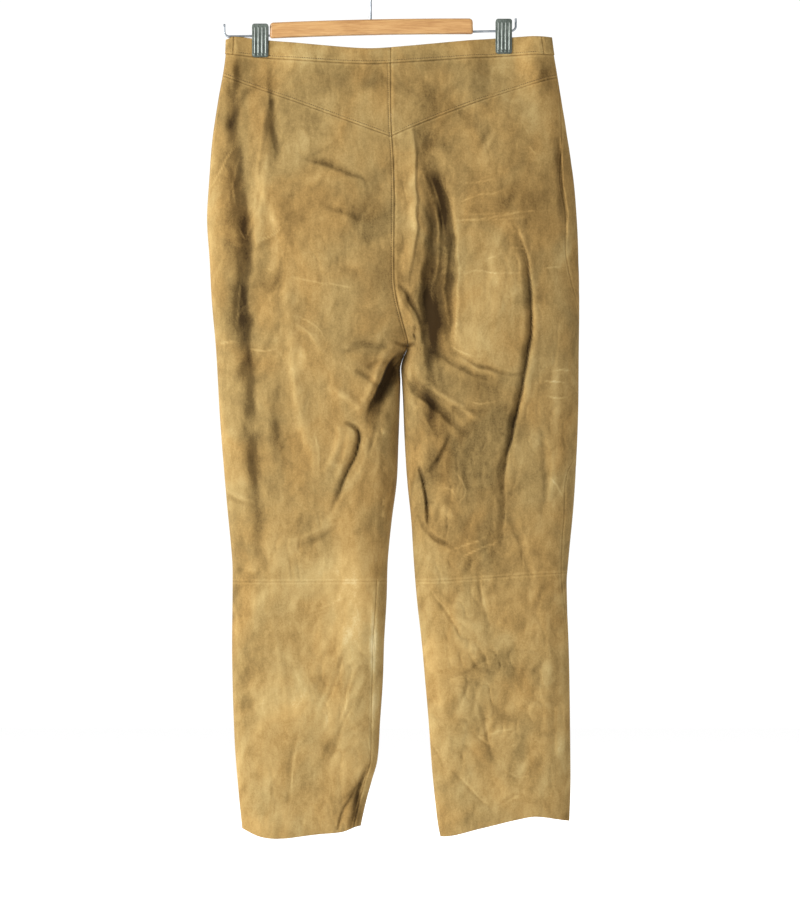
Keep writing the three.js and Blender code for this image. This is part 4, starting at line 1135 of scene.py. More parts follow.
def before_side(side, seam=side_seam):
    return lambda drop: 2 + seam(side, drop) + gap_way(side, seam(side, drop), drop, True)


def beside_inseam(side, inward):
    def way(drop):
        seam = inseam(side, drop)
        return np.where(np.asarray(drop) < CROTCH_DROP, 1, seam + gap_way(side, seam, drop, inward))
    return way


def at_rise(drop):
    return np.ones(np.shape(drop))


# The fineness of a panel's grid in mm, how far it stands off the cloth and its thickness
BACK_CUT = (2.0, 0, LEATHER)
FRONT_CUT = (3.8, 0, LEATHER)
BAND_CUT = (1.8, BAND_PROUD, BAND_LEATHER)
BAND_PROBE = 102
YOKE_PROBE = 165
THIGH_PROBE = 420
SHIN_PROBE = 940

panels = {}
for side in ("left", "right"):
    back = (after_side(side), beside_inseam(side, True))
    front = (beside_inseam(side, False), before_side(side))
    yoke = (after_side(side), at_rise)
    band_back = (after_side(side, band_side_seam), at_rise)
    band_front = (at_rise, before_side(side, band_side_seam))
    rise_edge = stitched_seam if side == "left" else plain_seam
    yoke_edges = (plain_seam, stitched_seam, plain_seam, rise_edge)
    back_edges = (plain_seam, faint_seam, plain_seam, rise_edge)
    front_edges = (plain_seam, faint_seam, plain_seam, plain_seam)
    shin_edges = (faint_seam, open_edge, plain_seam, plain_seam)
    band_edges = (open_edge, stitched_seam, plain_seam, plain_seam)
    band_cross = (band_top, band_bottom)
    yoke_cross = (band_bottom, yoke_seam)
    back_cross = (yoke_seam, knee_seam)
    front_cross = (band_bottom, knee_seam)
    shin_cross = (knee_seam, hem_edge)
    # Node, object, face, limits, cross seams, probe, cut and edge treatments
    kinds = [
        ("back_yoke", "yoke", "back", yoke, yoke_cross, YOKE_PROBE, *BACK_CUT, yoke_edges),
        ("back_upper", "back", "back", back, back_cross, THIGH_PROBE, *BACK_CUT, back_edges),
        ("back_lower", "back_shin", "back", back, shin_cross, SHIN_PROBE, *BACK_CUT, shin_edges),
        ("front_upper", "front", "front", front, front_cross, THIGH_PROBE, *FRONT_CUT, front_edges),
        ("front_lower", "front_shin", "front", front, shin_cross, SHIN_PROBE, *FRONT_CUT, shin_edges),
        ("waistband_back", "band_back", "back", band_back, band_cross, BAND_PROBE, *BAND_CUT, band_edges),
        ("waistband_front", "band_front", "front", band_front, band_cross, BAND_PROBE, *BAND_CUT, band_edges),
    ]
    for node, name, *shape in kinds:
        panels[f"{node}_{side}"] = panel(f"{name}_{side}", side, *shape)

# Fly facing, on the left front beside the rise seam, rounded off at its foot
FLY_WIDTH = 38
FLY_FOOT = 305
FLY_LEAST_WIDTH = 8
FLY_PROUD = LEATHER + 0.5
FLY_BELOW_BAND = 0.3
FLY_ROWS = 110
FLY_COLUMNS = 26
FLY_ROW_SPREAD = 1.3


def fly_width(drop):
    round_part = np.clip((drop - (FLY_FOOT - FLY_WIDTH)) / FLY_WIDTH, 0, 1)
    return np.maximum(FLY_LEAST_WIDTH, FLY_WIDTH * np.sqrt(1 - round_part**2))


def fly_facing():
    top = float(band_bottom("left", 0)) + FLY_BELOW_BAND
    down = 1 - (1 - np.linspace(0, 1, FLY_ROWS)) ** FLY_ROW_SPREAD
    drops = np.repeat((top + (FLY_FOOT - top) * down)[:, None], FLY_COLUMNS, axis=1)
    seam = inner_x("left", drops[:, :1])
    last = 2 - way_at("left", seam - fly_width(drops[:, :1]), drops[:, :1])
    ways = 1 + (last - 1) * np.linspace(0, 1, FLY_COLUMNS)
    points, tone = cloth("left", ways, drops, "front")
    edges = (plain_seam, open_edge, open_edge, open_edge)
    return wall("fly_facing_leather", "left", points, tone, FLY_PROUD, LEATHER, edges)


panels["fly_facing"] = fly_facing()

# Topstitching
STITCH_PITCH = 2.9
STITCH_LENGTH = 2.0
THREAD_RADIUS = 0.38
THREAD_SIDES = 6
THREAD_SINK = 0.15


def capsules(centres, along, out):
    """Points and faces of one small capsule at each centre."""
    across = np.cross(along, out)
    places = np.array([-0.5, -0.36, 0, 0.36, 0.5]) * STITCH_LENGTH
    radii = np.array([0.0, 0.8, 1.0, 0.8, 0.0]) * THREAD_RADIUS
    lift = np.array([-0.5, -0.1, 0.25, -0.1, -0.5]) * THREAD_RADIUS
    angles = np.arange(THREAD_SIDES) * 2 * math.pi / THREAD_SIDES
    points = []
    for place, radius, up in zip(places, radii, lift):
        for angle in angles if radius else angles[:1]:
            side_way = across * (radius * math.cos(angle))
            up_way = out * (radius * math.sin(angle) + up)
            points.append(centres + along * place + side_way + up_way)
    points = np.stack(points, axis=1)
    count = points.shape[1]
    last = count - 1
    faces = []
    for i in range(THREAD_SIDES):
        j = (i + 1) % THREAD_SIDES
        faces.append((0, 1 + j, 1 + i))
        for ring in range(2):
            low = 1 + ring * THREAD_SIDES
            faces.append((low + i, low + j, low + THREAD_SIDES + j, low + THREAD_SIDES + i))
        faces.append((last - THREAD_SIDES + i, last - THREAD_SIDES + j, last))
    every = []
    for first in range(0, len(centres) * count, count):
        every += [tuple(corner + first for corner in face) for face in faces]
    return points.reshape(-1, 3), every


def stitch_row(name, side, ways, drops, start, proud, aside):
    """Stitches along a line on the cloth. aside is a small step of (way, drop) off the line."""
    line, _ = cloth(side, ways, drops, start)
    beside, _ = cloth(side, ways + aside[0], drops + aside[1], start)
    length = lengths_along(line, 0)
    along = np.gradient(line, axis=0)
    out = np.cross(along, beside - line)
    facing = -1 if start == "back" else 1
    out = unit(out * np.sign(out[:, 1:2]) * facing)
    line = line + out * (proud - THREAD_SINK)
    places = np.arange(STITCH_PITCH, length[-1] - STITCH_PITCH / 2, STITCH_PITCH)

    def at_places(values):
        return np.stack([np.interp(places, length, column) for column in values.T], axis=1)

    along = unit(at_places(along))
    out = at_places(out)
    out = unit(out - along * np.sum(out * along, axis=1, keepdims=True))
    return new_object(name, *capsules(at_places(line), along, out), sharp_angle=80)


# Rows of stitches. Those across stop short of the side seam and the rise by these lengths of way.
SIDE_CLEAR = 0.01
RISE_CLEAR = 0.002
ROW_TOP = 128
ROW_FOOT = CROTCH_DROP - 4
YOKE_INSET = STITCH_INSET + 0.2
FLY_ROW_INSET = 5.5
FLY_ROW_LEAST_INSET = 2
FLY_ROW_RISE = 7
FLY_ROW_CLEAR = 6
BAND_SEAM_DROP = 105
BAND_GUESS = 115
YOKE_GUESS = 170
LINE_POINTS = 600
ASIDE_DOWN = (0, 0.8)
ASIDE_ROUND = (0.006, 0)


def cross_row(name, side, seam, inset, ends, start, proud):
    """A row of stitches that keeps above a cross seam, between two ways."""
    ways = np.linspace(*ends, LINE_POINTS)
    guess = np.full(ways.shape, float(YOKE_GUESS if seam is yoke_seam else BAND_GUESS))
    drops = drop_on(seam, side, lambda drop: ways, guess) - inset
    return stitch_row(f"stitches_{name}_{side}", side, ways, drops, start, proud, ASIDE_DOWN)


def long_row(name, drops, inset, start, proud):
    """A row of stitches down the left half, an inset away from the rise seam."""
    ways = way_at("left", inner_x("left", drops) - inset, drops)
    if start == "front":
        ways = 2 - ways
    return stitch_row(f"stitches_{name}", "left", ways, drops, start, proud, ASIDE_ROUND)


stitches = []
for side in ("left", "right"):
    band_seam = float(band_side_seam(side, BAND_SEAM_DROP))
    first = band_seam + SIDE_CLEAR
    last = 2 + band_seam - SIDE_CLEAR
    yoke_first = float(side_seam(side, YOKE_DROP[side])) + SIDE_CLEAR
    back_row = (first, 1 - RISE_CLEAR)
    front_row = (1 + RISE_CLEAR, last)
    yoke_row = (yoke_first, 1 - RISE_CLEAR)
    stitches += [
        cross_row("waist_back", side, band_bottom, STITCH_INSET, back_row, "back", BAND_PROUD),
        cross_row("waist_front", side, band_bottom, STITCH_INSET, front_row, "front", BAND_PROUD),
        cross_row("yoke", side, yoke_seam, YOKE_INSET, yoke_row, "back", 0),
    ]
fly_row_foot = FLY_FOOT - FLY_ROW_RISE
fly_row = ROW_TOP + (fly_row_foot - ROW_TOP) * np.sin(np.linspace(0, 1, LINE_POINTS) * math.pi / 2)
fly_inset = np.maximum(FLY_ROW_LEAST_INSET, fly_width(fly_row + FLY_ROW_CLEAR) - FLY_ROW_INSET)
rise_back = np.linspace(ROW_TOP, ROW_FOOT, LINE_POINTS)
rise_front = np.linspace(FLY_FOOT + FLY_ROW_CLEAR, ROW_FOOT, LINE_POINTS)
stitches += [
    long_row("rise_back", rise_back, STITCH_INSET, "back", 0),
    long_row("rise_front", rise_front, STITCH_INSET, "front", 0),
    long_row("fly", fly_row, fly_inset, "front", FLY_PROUD),
]


def rod_faces(rings, sides, flip=False):
    """Faces of a closed rod of rings, each with as many points as the rod has sides."""
    faces = []
    for low in range(0, (rings - 1) * sides, sides):
        high = low + sides
        for i in range(sides):
            j = (i + 1) % sides
            face = (low + i, low + j, high + j, high + i)
            faces.append((face[0], face[3], face[2], face[1]) if flip else face)
    first = tuple(range(sides))
    last = tuple(range((rings - 1) * sides, rings * sides))
    return faces + ([first, last[::-1]] if flip else [first[::-1], last])


def rod(name, centres, across, beside, radii, sides, sharp_angle):
    """A closed rod of round section through the centres. across and beside are two directions square
    to it, and radii its radius at each centre."""
    radii = np.asarray(radii, float).reshape(-1, 1)
    rings = []
    for angle in 2 * math.pi * np.arange(sides) / sides:
        rings.append(centres + (across * math.cos(angle) + beside * math.sin(angle)) * radii)
    points = np.stack(rings, axis=1).reshape(-1, 3)
    return new_object(name, points, rod_faces(len(centres), sides), sharp_angle)


# Waistband button, on the left front close to the rise seam, from its back to its hollow middle
BUTTON_FROM_SEAM = 12
BUTTON_STAND_OFF = 0.5
BUTTON_SIDES = 48
BUTTON_PROFILE = [(5.5, 0), (7.0, 0.1), (7.7, 0.5), (8.0, 1.1), (8.0, 1.9), (7.8, 2.5), (7.3, 2.9),
                  (6.7, 3.0), (6.2, 2.85), (5.8, 2.4), (5.4, 2.15), (4.6, 2.05), (3.0, 2.1), (1.0, 2.15)]
BAND_MIDDLE = 100
BUTTON_WAY_STEP = 0.01
STRAND_HEIGHT = 2.35
STRAND_SPACING = 0.35
STRAND_STRETCH = 1.6
button_way = 2 - float(way_at("left", BACK_RISE_X - BUTTON_FROM_SEAM, BAND_MIDDLE))
button_drop = float(band_top("left", BACK_RISE_X) + band_bottom("left", BACK_RISE_X)) / 2
near_ways = button_way + np.array([0, BUTTON_WAY_STEP])
near_drops = button_drop + np.array([0, 1])
near_button = cloth("left", near_ways[None, :], near_drops[:, None], "front")[0]
button_out = np.cross(near_button[0, 1] - near_button[0, 0], near_button[0, 0] - near_button[1, 0])
button_out = unit(button_out) * np.sign(button_out[1])
button_across = unit(np.cross(button_out, [0.0, 0.0, 1.0]))
button_up = np.cross(button_across, button_out)
button_seat = near_button[0, 0] + button_out * (BAND_PROUD + BUTTON_STAND_OFF)


def button_disc():
    radii, heights = np.array(BUTTON_PROFILE).T
    centres = button_seat + button_out * heights[:, None]
    beside = np.cross(button_out, button_across)
    return rod("button", centres, button_across, beside, radii, BUTTON_SIDES, 40)


def button_thread():
    """Two strands that cross the middle of the button, from hole to hole."""
    centres = []
    along = []
    for tilt in (45, 135):
        angle = math.radians(tilt)
        strand = button_across * math.cos(angle) + button_up * math.sin(angle)
        for place in (-1, 0, 1):
            cross_way = np.cross(strand, button_out)
            centres.append(button_seat + button_out * STRAND_HEIGHT + cross_way * STRAND_SPACING * place)
            along.append(strand * STRAND_STRETCH)
    return capsules(np.array(centres), np.array(along), np.repeat(button_out[None], len(centres), axis=0))


button = button_disc()
thread = new_object("button_thread", *button_thread(), sharp_angle=80)

# Hanger bar: a low wooden arch with rounded edges and ends, tilted a little
BAR_WIDTH = 260
BAR_X = 1.4
BAR_HEIGHT = 20
BAR_DEPTH = 11
BAR_BOTTOM = 88
BAR_ARCH = 1.5
BAR_TILT = math.radians(1.2)
BAR_ROUND = 2.8
BAR_LEAST_ROUND = 0.3
BAR_SHOULDER = 5
BAR_END_PLACES = [0, 0.15, 0.6, 1.3, 2.2, 3.4, 5.0]
BAR_MIDDLE_PLACES = 60
CORNER_POINTS = 7
AWAY = {"left": -1, "right": 1}

# A rod's ends narrow to this share of its radius over that share of it
ROD_END_WIDTH = 0.75
ROD_END_LENGTH = 0.25

# Wires from the bar's ends through the clips, on one slope
WIRE_RADIUS = 1.5
WIRE_PLACES = 12
WIRE_IN_BAR = 14
WIRE_FALL = CLIPS["right"]["wire_drop"] - CLIPS["left"]["wire_drop"]
WIRE_SLOPE = WIRE_FALL / (CLIPS["right"]["x"] - CLIPS["left"]["x"])
WIRE_CORNER = {"left": -187, "right": 186}
WIRE_BEND = 6
WIRE_BEND_POINTS = 14
WIRE_END_RISE = 16

# The hook, its stem in the bar and the holes for stem and wires. An arc has its first and last angle and
# its number of steps.
HOOK_WIRE = 2
HOOK_INSIDE = 20
HOOK_IN_BAR = 8
HOOK_FOOT = BAR_HEIGHT - BAR_BOTTOM - HOOK_IN_BAR
STEM_KNOT = -64
NECK_DROP = 2 * HOOK_INSIDE + 4
NECK_KNOT = -NECK_DROP - 8
NECK_ARC = (180, 130, 3)
HOOK_ARC = (-48, 196, 18)
HOOK_STEP = 1.6
HOLE_CLEARANCE = 0.35
HOLE_DEEPER = 2
HOLE_PAST_END = 4
HOLE_TOP = -60
HAIR = 0.001


def wire_height(x):
    return -(CLIPS["left"]["wire_drop"] + WIRE_SLOPE * (x - CLIPS["left"]["x"]))


def rounded_section(half_depth, low, high, radius):
    """Points round a section of the bar, as (y, z)."""
    points = []
    right = [(half_depth, low, -90), (half_depth, high, 0)]
    left = [(-half_depth, high, 90), (-half_depth, low, 180)]
    for y, z, start in right + left:
        centre_y = y - math.copysign(radius, y)
        centre_z = z + (radius if z == low else -radius)
        for i in range(CORNER_POINTS):
            angle = math.radians(start + 90 * i / (CORNER_POINTS - 1))
            points.append((centre_y + radius * math.cos(angle), centre_z + radius * math.sin(angle)))
    return points


def rounded_by(radius, from_end):
    """How far a corner of that radius is cut back, so far from the bar's end."""
    return radius - math.sqrt(max(0, radius**2 - max(0, radius - from_end) ** 2))


def wooden_bar():
    half = BAR_WIDTH / 2
    inset = np.array(BAR_END_PLACES)
    middle = np.linspace(-half + inset[-1], half - inset[-1], BAR_MIDDLE_PLACES)
    places = np.concatenate([-half + inset[:-1], middle, (half - inset[:-1])[::-1]])
    points = []
    for x in places:
        arch = BAR_ARCH * (1 - (x / half) ** 2)
        cut = rounded_by(BAR_ROUND, half - abs(x))
        shoulder = rounded_by(BAR_SHOULDER, half - abs(x))
        high = BAR_HEIGHT + arch - max(cut, shoulder)
        radius = max(BAR_LEAST_ROUND, BAR_ROUND - cut)
        for y, z in rounded_section(BAR_DEPTH / 2 - cut, arch + cut, high, radius):
            tilted_x = x * math.cos(BAR_TILT) - z * math.sin(BAR_TILT)
            tilted_z = x * math.sin(BAR_TILT) + z * math.cos(BAR_TILT)
            points.append((tilted_x + BAR_X, y, tilted_z - BAR_BOTTOM))
    return new_object("bar", points, rod_faces(len(places), 4 * CORNER_POINTS, flip=True), sharp_angle=45)


def tube(name, points, radius, sides=20):
    """A rod along points in 3-D, closed at both ends, which are a little rounded."""
    points = np.asarray(points, float)
    tangent = unit(np.gradient(points, axis=0))
    first = unit(np.cross(tangent, [0.0, 1.0, 0.0]))
    every = [0, *range(len(points)), -1]
    centres = points[every]
    centres[1] += tangent[0] * ROD_END_LENGTH * radius
    centres[-2] -= tangent[-1] * ROD_END_LENGTH * radius
    radii = np.full(len(every), float(radius))
    radii[[0, -1]] *= ROD_END_WIDTH
    return rod(name, centres, first[every], np.cross(tangent, first)[every], radii, sides, 50)


def arc(centre_x, centre_z, radius, start, end, count):
    angles = np.radians(np.linspace(start, end, count + 1))
    return [(centre_x + radius * math.cos(angle), centre_z + radius * math.sin(angle)) for angle in angles]


def wire_points(side):
    """A wire's line from inside the bar to its end, which turns up so that the clip stays on."""
    start = BAR_X + AWAY[side] * (BAR_WIDTH / 2 - WIRE_IN_BAR)
    corner = WIRE_CORNER[side]
    bend_x = corner - AWAY[side] * WIRE_BEND
    level = wire_height(bend_x)
    bend = arc(bend_x, level + WIRE_BEND, WIRE_BEND, -90, 90 * AWAY[side] - 90, WIRE_BEND_POINTS)
    straight = [(x, wire_height(x)) for x in np.linspace(start, bend_x, WIRE_PLACES)[:-1]]
    return [(x, 0, z) for x, z in straight + bend + [(corner, level + WIRE_END_RISE)]]


def smooth_line(knots, step):
    """Points about a step apart on a smooth curve through the knots."""
    knots = np.array(knots, float)
    length = lengths_along(knots, 0)
    place = np.linspace(0, length[-1], int(length[-1] / step) + 1)
    columns = [read({"length": length, "axis": column}, "axis", place) for column in knots.T]
    return np.stack(columns, axis=1)


def wire_hook():
    """The round hook and its neck, from the foot of the stem in the bar."""
    radius = HOOK_INSIDE + HOOK_WIRE
    knots = [(0, HOOK_FOOT), (0, STEM_KNOT), (0, NECK_KNOT)]
    knots += arc(radius / 2, -NECK_DROP, radius / 2, *NECK_ARC)
    knots += arc(0, -HOOK_INSIDE, radius, *HOOK_ARC)
    line = smooth_line(knots, HOOK_STEP)
    return tube("hook", np.insert(line, 1, 0, axis=1), HOOK_WIRE, 24)


def drill(thing, start, end, radius):
    """Cuts a round hole from one point to another."""
    cutter = tube("cutter", np.linspace(start, end, 3), radius, 24)
    cut = thing.modifiers.new("hole", "BOOLEAN")
    cut.operation = "DIFFERENCE"
    cut.solver = "EXACT"
    cut.object = cutter
    with bpy.context.temp_override(object=thing, active_object=thing, selected_objects=[thing]):
        bpy.ops.object.modifier_apply(modifier=cut.name)
    bpy.data.objects.remove(cutter, do_unlink=True)


bar = wooden_bar()
for side in ("left", "right"):
    bottom = BAR_X + AWAY[side] * (BAR_WIDTH / 2 - WIRE_IN_BAR - HOLE_DEEPER)
    mouth = BAR_X + AWAY[side] * (BAR_WIDTH / 2 + HOLE_PAST_END)
    ends = [(x, 0, wire_height(x)) for x in (bottom, mouth)]
    drill(bar, *ends, WIRE_RADIUS + HOLE_CLEARANCE)
drill(bar, (0, HAIR, HOOK_FOOT - HOLE_DEEPER), (0, 0, HOLE_TOP), HOOK_WIRE + HOLE_CLEARANCE)
hook = wire_hook()
wires = {side: tube(f"wire_{side}", wire_points(side), WIRE_RADIUS) for side in ("left", "right")}

# Clips: two bent jaws of fluted sheet and a coil round the wire between them
JAW_SHEET = 1.2
JAW_GRIP_GAP = 0.3
JAW_INSIDE = PINCHED_DEPTH + BAND_PROUD + JAW_GRIP_GAP
JAW_TOP = 15
JAW_FLARE = 9
JAW_BEND = (0.63, 0.45)
JAW_STRAIGHT_FROM = 9
JAW_STEP = 0.45
JAW_COLUMNS = 97
JAW_CORNER = 3.2
JAW_EDGE_ROLL = 0.35
JAW_EDGE_WIDTH = 0.6
COIL_RADIUS = 3.4
COIL_LENGTH = 15
COIL_WIRE = 0.5
COIL_GAP = 0.12
JAW_COIL_GAP = 0.3
COIL_TURN_POINTS = 18
COIL_SIDES = 8
RIB_COUNT = 4
RIB_SPACING = CLIP_WIDTH / (RIB_COUNT + 0.4)
RIB_PROUD = 0.7
RIB_HALF_WIDTH = 1.15
RIB_FULLNESS = 0.7
RIB_FROM_TIP = (4.1, 5.3)
RIB_FROM_TOP = (2.5, 5)
DIMPLE_FROM_TIP = 2.9
DIMPLE_RADIUS = 1.45
DIMPLE_PROUD = 0.55


def jaw_relief(across, half_width, from_tip, from_top):
    """How far the ribs, the dimples under them and the rolled edges stand out of a jaw's sheet."""
    raised = np.zeros(across.shape)
    ends = smoothstep(from_tip, *RIB_FROM_TIP) * smoothstep(from_top, *RIB_FROM_TOP)
    for i in range(RIB_COUNT):
        aside = across - (i - (RIB_COUNT - 1) / 2) * RIB_SPACING
        rounded = np.clip(1 - (np.abs(aside) / RIB_HALF_WIDTH) ** 2, 0, 1)
        raised += RIB_PROUD * rounded**RIB_FULLNESS * ends
        off = np.hypot(aside, from_tip - DIMPLE_FROM_TIP) / DIMPLE_RADIUS
        raised += DIMPLE_PROUD * np.sqrt(np.clip(1 - off**2, 0, 1))
    edge = np.minimum(half_width - np.abs(across), np.minimum(from_tip, from_top))
    return raised + rolled(edge, JAW_EDGE_ROLL, JAW_EDGE_WIDTH)


def jaw(name, clip, facing):
    """A jaw whose outside faces -Y for facing -1 and +Y for facing 1."""
    reach = clip["reach"]
    knots = [
        (JAW_INSIDE, -reach),
        (JAW_INSIDE, -reach / 2 - JAW_STRAIGHT_FROM / 2),
        (JAW_INSIDE, -JAW_STRAIGHT_FROM),
        (COIL_RADIUS + JAW_COIL_GAP, 0),
        (JAW_FLARE * JAW_BEND[0], JAW_TOP * JAW_BEND[1]),
        (JAW_FLARE, JAW_TOP),
    ]
    profile = smooth_line(knots, JAW_STEP)
    profile[:, 0] = np.maximum(profile[:, 0], JAW_INSIDE)
    slope = unit(np.gradient(profile, axis=0))
    normal = np.stack([slope[:, 1], -slope[:, 0]], axis=1)
    from_tip = profile[:, 1:] + reach
    from_top = JAW_TOP - profile[:, 1:]
    corner = np.clip(1 - np.minimum(from_tip, from_top) / JAW_CORNER, 0, 1)
    half_width = CLIP_WIDTH / 2 - JAW_CORNER * (1 - np.sqrt(1 - corner**2 * 0.98))
    across = np.linspace(-1, 1, JAW_COLUMNS) * half_width
    raised = jaw_relief(across, half_width, from_tip, from_top)
    grids = []
    for proud in (JAW_SHEET + raised, np.zeros(across.shape)):
        y = profile[:, :1] + normal[:, :1] * proud
        z = profile[:, 1:] + normal[:, 1:] * proud
        points = np.stack([clip["x"] + across, facing * y, z - clip["wire_drop"]], axis=-1)
        grids.append(points.reshape(-1, 3))
    thing = new_object(name, np.concatenate(grids), wall_faces(*across.shape, facing > 0), sharp_angle=50)
    # Raised ribs and dimples, which the steel shows lighter: rubbed wear and a painted highlight
    store(thing, "worn_and_highlight", np.concatenate([(raised / RIB_PROUD).ravel(), np.zeros(raised.size)]))
    return thing


def coil(name, clip):
    """A close spring round the wire."""
    turns = COIL_LENGTH / (2 * COIL_WIRE + COIL_GAP)
    angle = np.linspace(0, turns * 2 * math.pi, int(turns * COIL_TURN_POINTS))
    half = COIL_LENGTH / 2 - COIL_WIRE
    along = np.linspace(-half, half, len(angle))
    radius = COIL_RADIUS - COIL_WIRE
    tilt = math.atan(-WIRE_SLOPE)
    wire_way = np.array([math.cos(tilt), 0, math.sin(tilt)])
    up = np.array([-math.sin(tilt), 0, math.cos(tilt)])
    forward = np.array([0, 1, 0])
    round_it = np.outer(radius * np.cos(angle), forward) + np.outer(radius * np.sin(angle), up)
    points = np.array([clip["x"], 0, -clip["wire_drop"]]) + np.outer(along, wire_way) + round_it
    tangent = unit(np.gradient(points, axis=0))
    first = unit(wire_way - tangent * (tangent @ wire_way)[:, None])
    return rod(name, points, first, np.cross(tangent, first), COIL_WIRE, COIL_SIDES, 80)


clip_pieces = {}
for side, clip in CLIPS.items():
    clip_pieces[f"clip_{side}_back_jaw"] = jaw(f"jaw_back_{side}", clip, -1)
    clip_pieces[f"clip_{side}_front_jaw"] = jaw(f"jaw_front_{side}", clip, 1)
    clip_pieces[f"clip_{side}_spring"] = coil(f"coil_{side}", clip)


# Materials
class Shader:
    """Builds a material's nodes, with short names for the kinds used here."""

    def __init__(self, name):
        self.material = bpy.data.materials.new(name)
        self.material.use_nodes = True
        self.tree = self.material.node_tree
        self.principled = self.tree.nodes["Principled BSDF"]

    def node(self, kind, settings=None, **inputs):
        made = self.tree.nodes.new(kind)
        for key, value in (settings or {}).items():
            setattr(made, key, value)
        for key, value in inputs.items():
            self.feed(made.inputs[key.replace("_", " ")], value)
        return made

    def feed(self, socket, value):
        if isinstance(value, bpy.types.NodeSocket):
            self.tree.links.new(value, socket)
        else:
            socket.default_value = value

    def stored(self, name):
        """A value that the mesh carries at its points."""
        settings = {"attribute_type": "GEOMETRY", "attribute_name": name}
        return self.node("ShaderNodeAttribute", settings).outputs["Fac"]

    def place(self, scale):
        coordinates = self.node("ShaderNodeTexCoord").outputs["Object"]
        return self.node("ShaderNodeMapping", Vector=coordinates, Scale=scale).outputs["Vector"]

    def noise(self, vector, scale, detail=3.0, roughness=0.5, distortion=0.0):
        made = self.node("ShaderNodeTexNoise", Vector=vector, Scale=scale, Detail=detail,
                         Roughness=roughness, Distortion=distortion)
        return made.outputs["Fac"]

    def math(self, operation, *values):
        made = self.node("ShaderNodeMath", {"operation": operation})
        for socket, value in zip(made.inputs, values):
            self.feed(socket, value)
        return made.outputs["Value"]

    def add_shares(self, start, *parts):
        """The sum of a start and a share of each part, from (part, share) pairs."""
        value = start
        for part, share in parts:
            value = self.math("MULTIPLY_ADD", part, share, value)
        return value

    def ramp(self, value, *stops):
        made = self.node("ShaderNodeValToRGB", Fac=value)
        elements = made.color_ramp.elements
        while len(elements) < len(stops):
            elements.new(0.5)
        for element, (place, color) in zip(elements, stops):
            element.position = place
            element.color = (*color, 1)
        return made.outputs["Color"]

    def mix(self, share, first, second, blend="MIX"):
        """Mixes two colours. The mix node's colour sockets are numbers 6 and 7, and 2 on its way out."""
        made = self.node("ShaderNodeMix", {"data_type": "RGBA", "blend_type": blend})
        self.feed(made.inputs["Factor"], share)
        self.feed(made.inputs[6], first)
        self.feed(made.inputs[7], second)
        return made.outputs[2]

    def bump(self, height, strength, distance):
        made = self.node("ShaderNodeBump", Height=height, Strength=strength, Distance=distance)
        self.feed(self.principled.inputs["Normal"], made.outputs["Normal"])

    def set(self, **inputs):
        for key, value in inputs.items():
            self.feed(self.principled.inputs[key.replace("_", " ")], value)


def suede_material():
    shader = Shader("suede")
    place = shader.place((1, 1, 1))
    wide = shader.noise(shader.place((1, 1, 0.6)), 9, 2, 0.5, 0.5)
    cloudy = shader.noise(shader.place((1, 1, 0.7)), 34, 4, 0.6, 0.8)
    brushed = shader.noise(shader.place((1, 1, 0.35)), 120, 4, 0.6, 0.6)
    fine = shader.noise(place, 420, 3, 0.65)
    nap = shader.noise(place, 1500, 2, 0.6)
    # tone carries the nap's own tone and the painted shade and light of the folds, seams and patches
    tone = shader.stored("tone")
    value = shader.add_shares(
        -0.225, (wide, 0.3), (cloudy, 0.42), (brushed, 0.25), (fine, 0.26), (nap, 0.2), (tone, 0.5)
    )
    colour = shader.ramp(
        value,
        (0.0, (0.026, 0.014, 0.004)),
        (0.25, (0.108, 0.066, 0.022)),
        (0.5, (0.275, 0.176, 0.063)),
        (0.72, (0.405, 0.283, 0.116)),
        (1.0, (0.6, 0.49, 0.27)),
    )
    hue = shader.noise(shader.place((1, 1, 0.7)), 15, 3, 0.5, 0.8)
    tint = shader.ramp(hue, (0.36, (0.95, 1.0, 1.02)), (0.64, (1.025, 0.985, 0.9)))
    colour = shader.mix(1.0, colour, tint, "MULTIPLY")
    rough = shader.math("MULTIPLY_ADD", cloudy, 0.1, 0.84)
    shader.set(Base_Color=colour, Roughness=rough, Specular_IOR_Level=0.08, Sheen_Weight=0.05,
               Sheen_Roughness=0.45, Sheen_Tint=(1, 0.88, 0.66, 1))
    grain = shader.math("MULTIPLY_ADD", fine, 0.8, shader.math("MULTIPLY", nap, 0.5))
    shader.bump(grain, 0.4, 0.0006)
    return shader.material


def thread_material():
    shader = Shader("thread")
    twist = shader.noise(shader.place((1, 1, 1)), 2600, 2)
    colour = shader.ramp(twist, (0.3, (0.05, 0.029, 0.012)), (0.7, (0.11, 0.068, 0.03)))
    shader.set(Base_Color=colour, Roughness=0.8, Specular_IOR_Level=0.2)
    shader.bump(twist, 0.3, 0.0002)
    return shader.material


def wood_material():
    shader = Shader("wood")
    warp = shader.noise(shader.place((3, 12, 12)), 6, 2)
    grain = shader.noise(shader.place((5, 90, 90)), 9, 5, 0.6, 0.6)
    pores = shader.noise(shader.place((18, 700, 700)), 3, 2, 0.6)
    value = shader.math("MULTIPLY_ADD", warp, 0.35, shader.math("MULTIPLY", grain, 0.65))
    colour = shader.ramp(
        value,
        (0.34, (0.3, 0.14, 0.04)),
        (0.5, (0.42, 0.225, 0.075)),
        (0.66, (0.52, 0.31, 0.12)),
    )
    dark = shader.math("GREATER_THAN", pores, 0.66)
    colour = shader.mix(shader.math("MULTIPLY", dark, 0.35), colour, (0.3, 0.14, 0.05, 1))
    rough = shader.math("MULTIPLY_ADD", grain, 0.16, 0.36)
    shader.set(Base_Color=colour, Roughness=rough, Coat_Weight=0.35, Coat_Roughness=0.2)
    shader.bump(shader.math("MULTIPLY_ADD", pores, -0.5, grain), 0.2, 0.0004)
    return shader.material


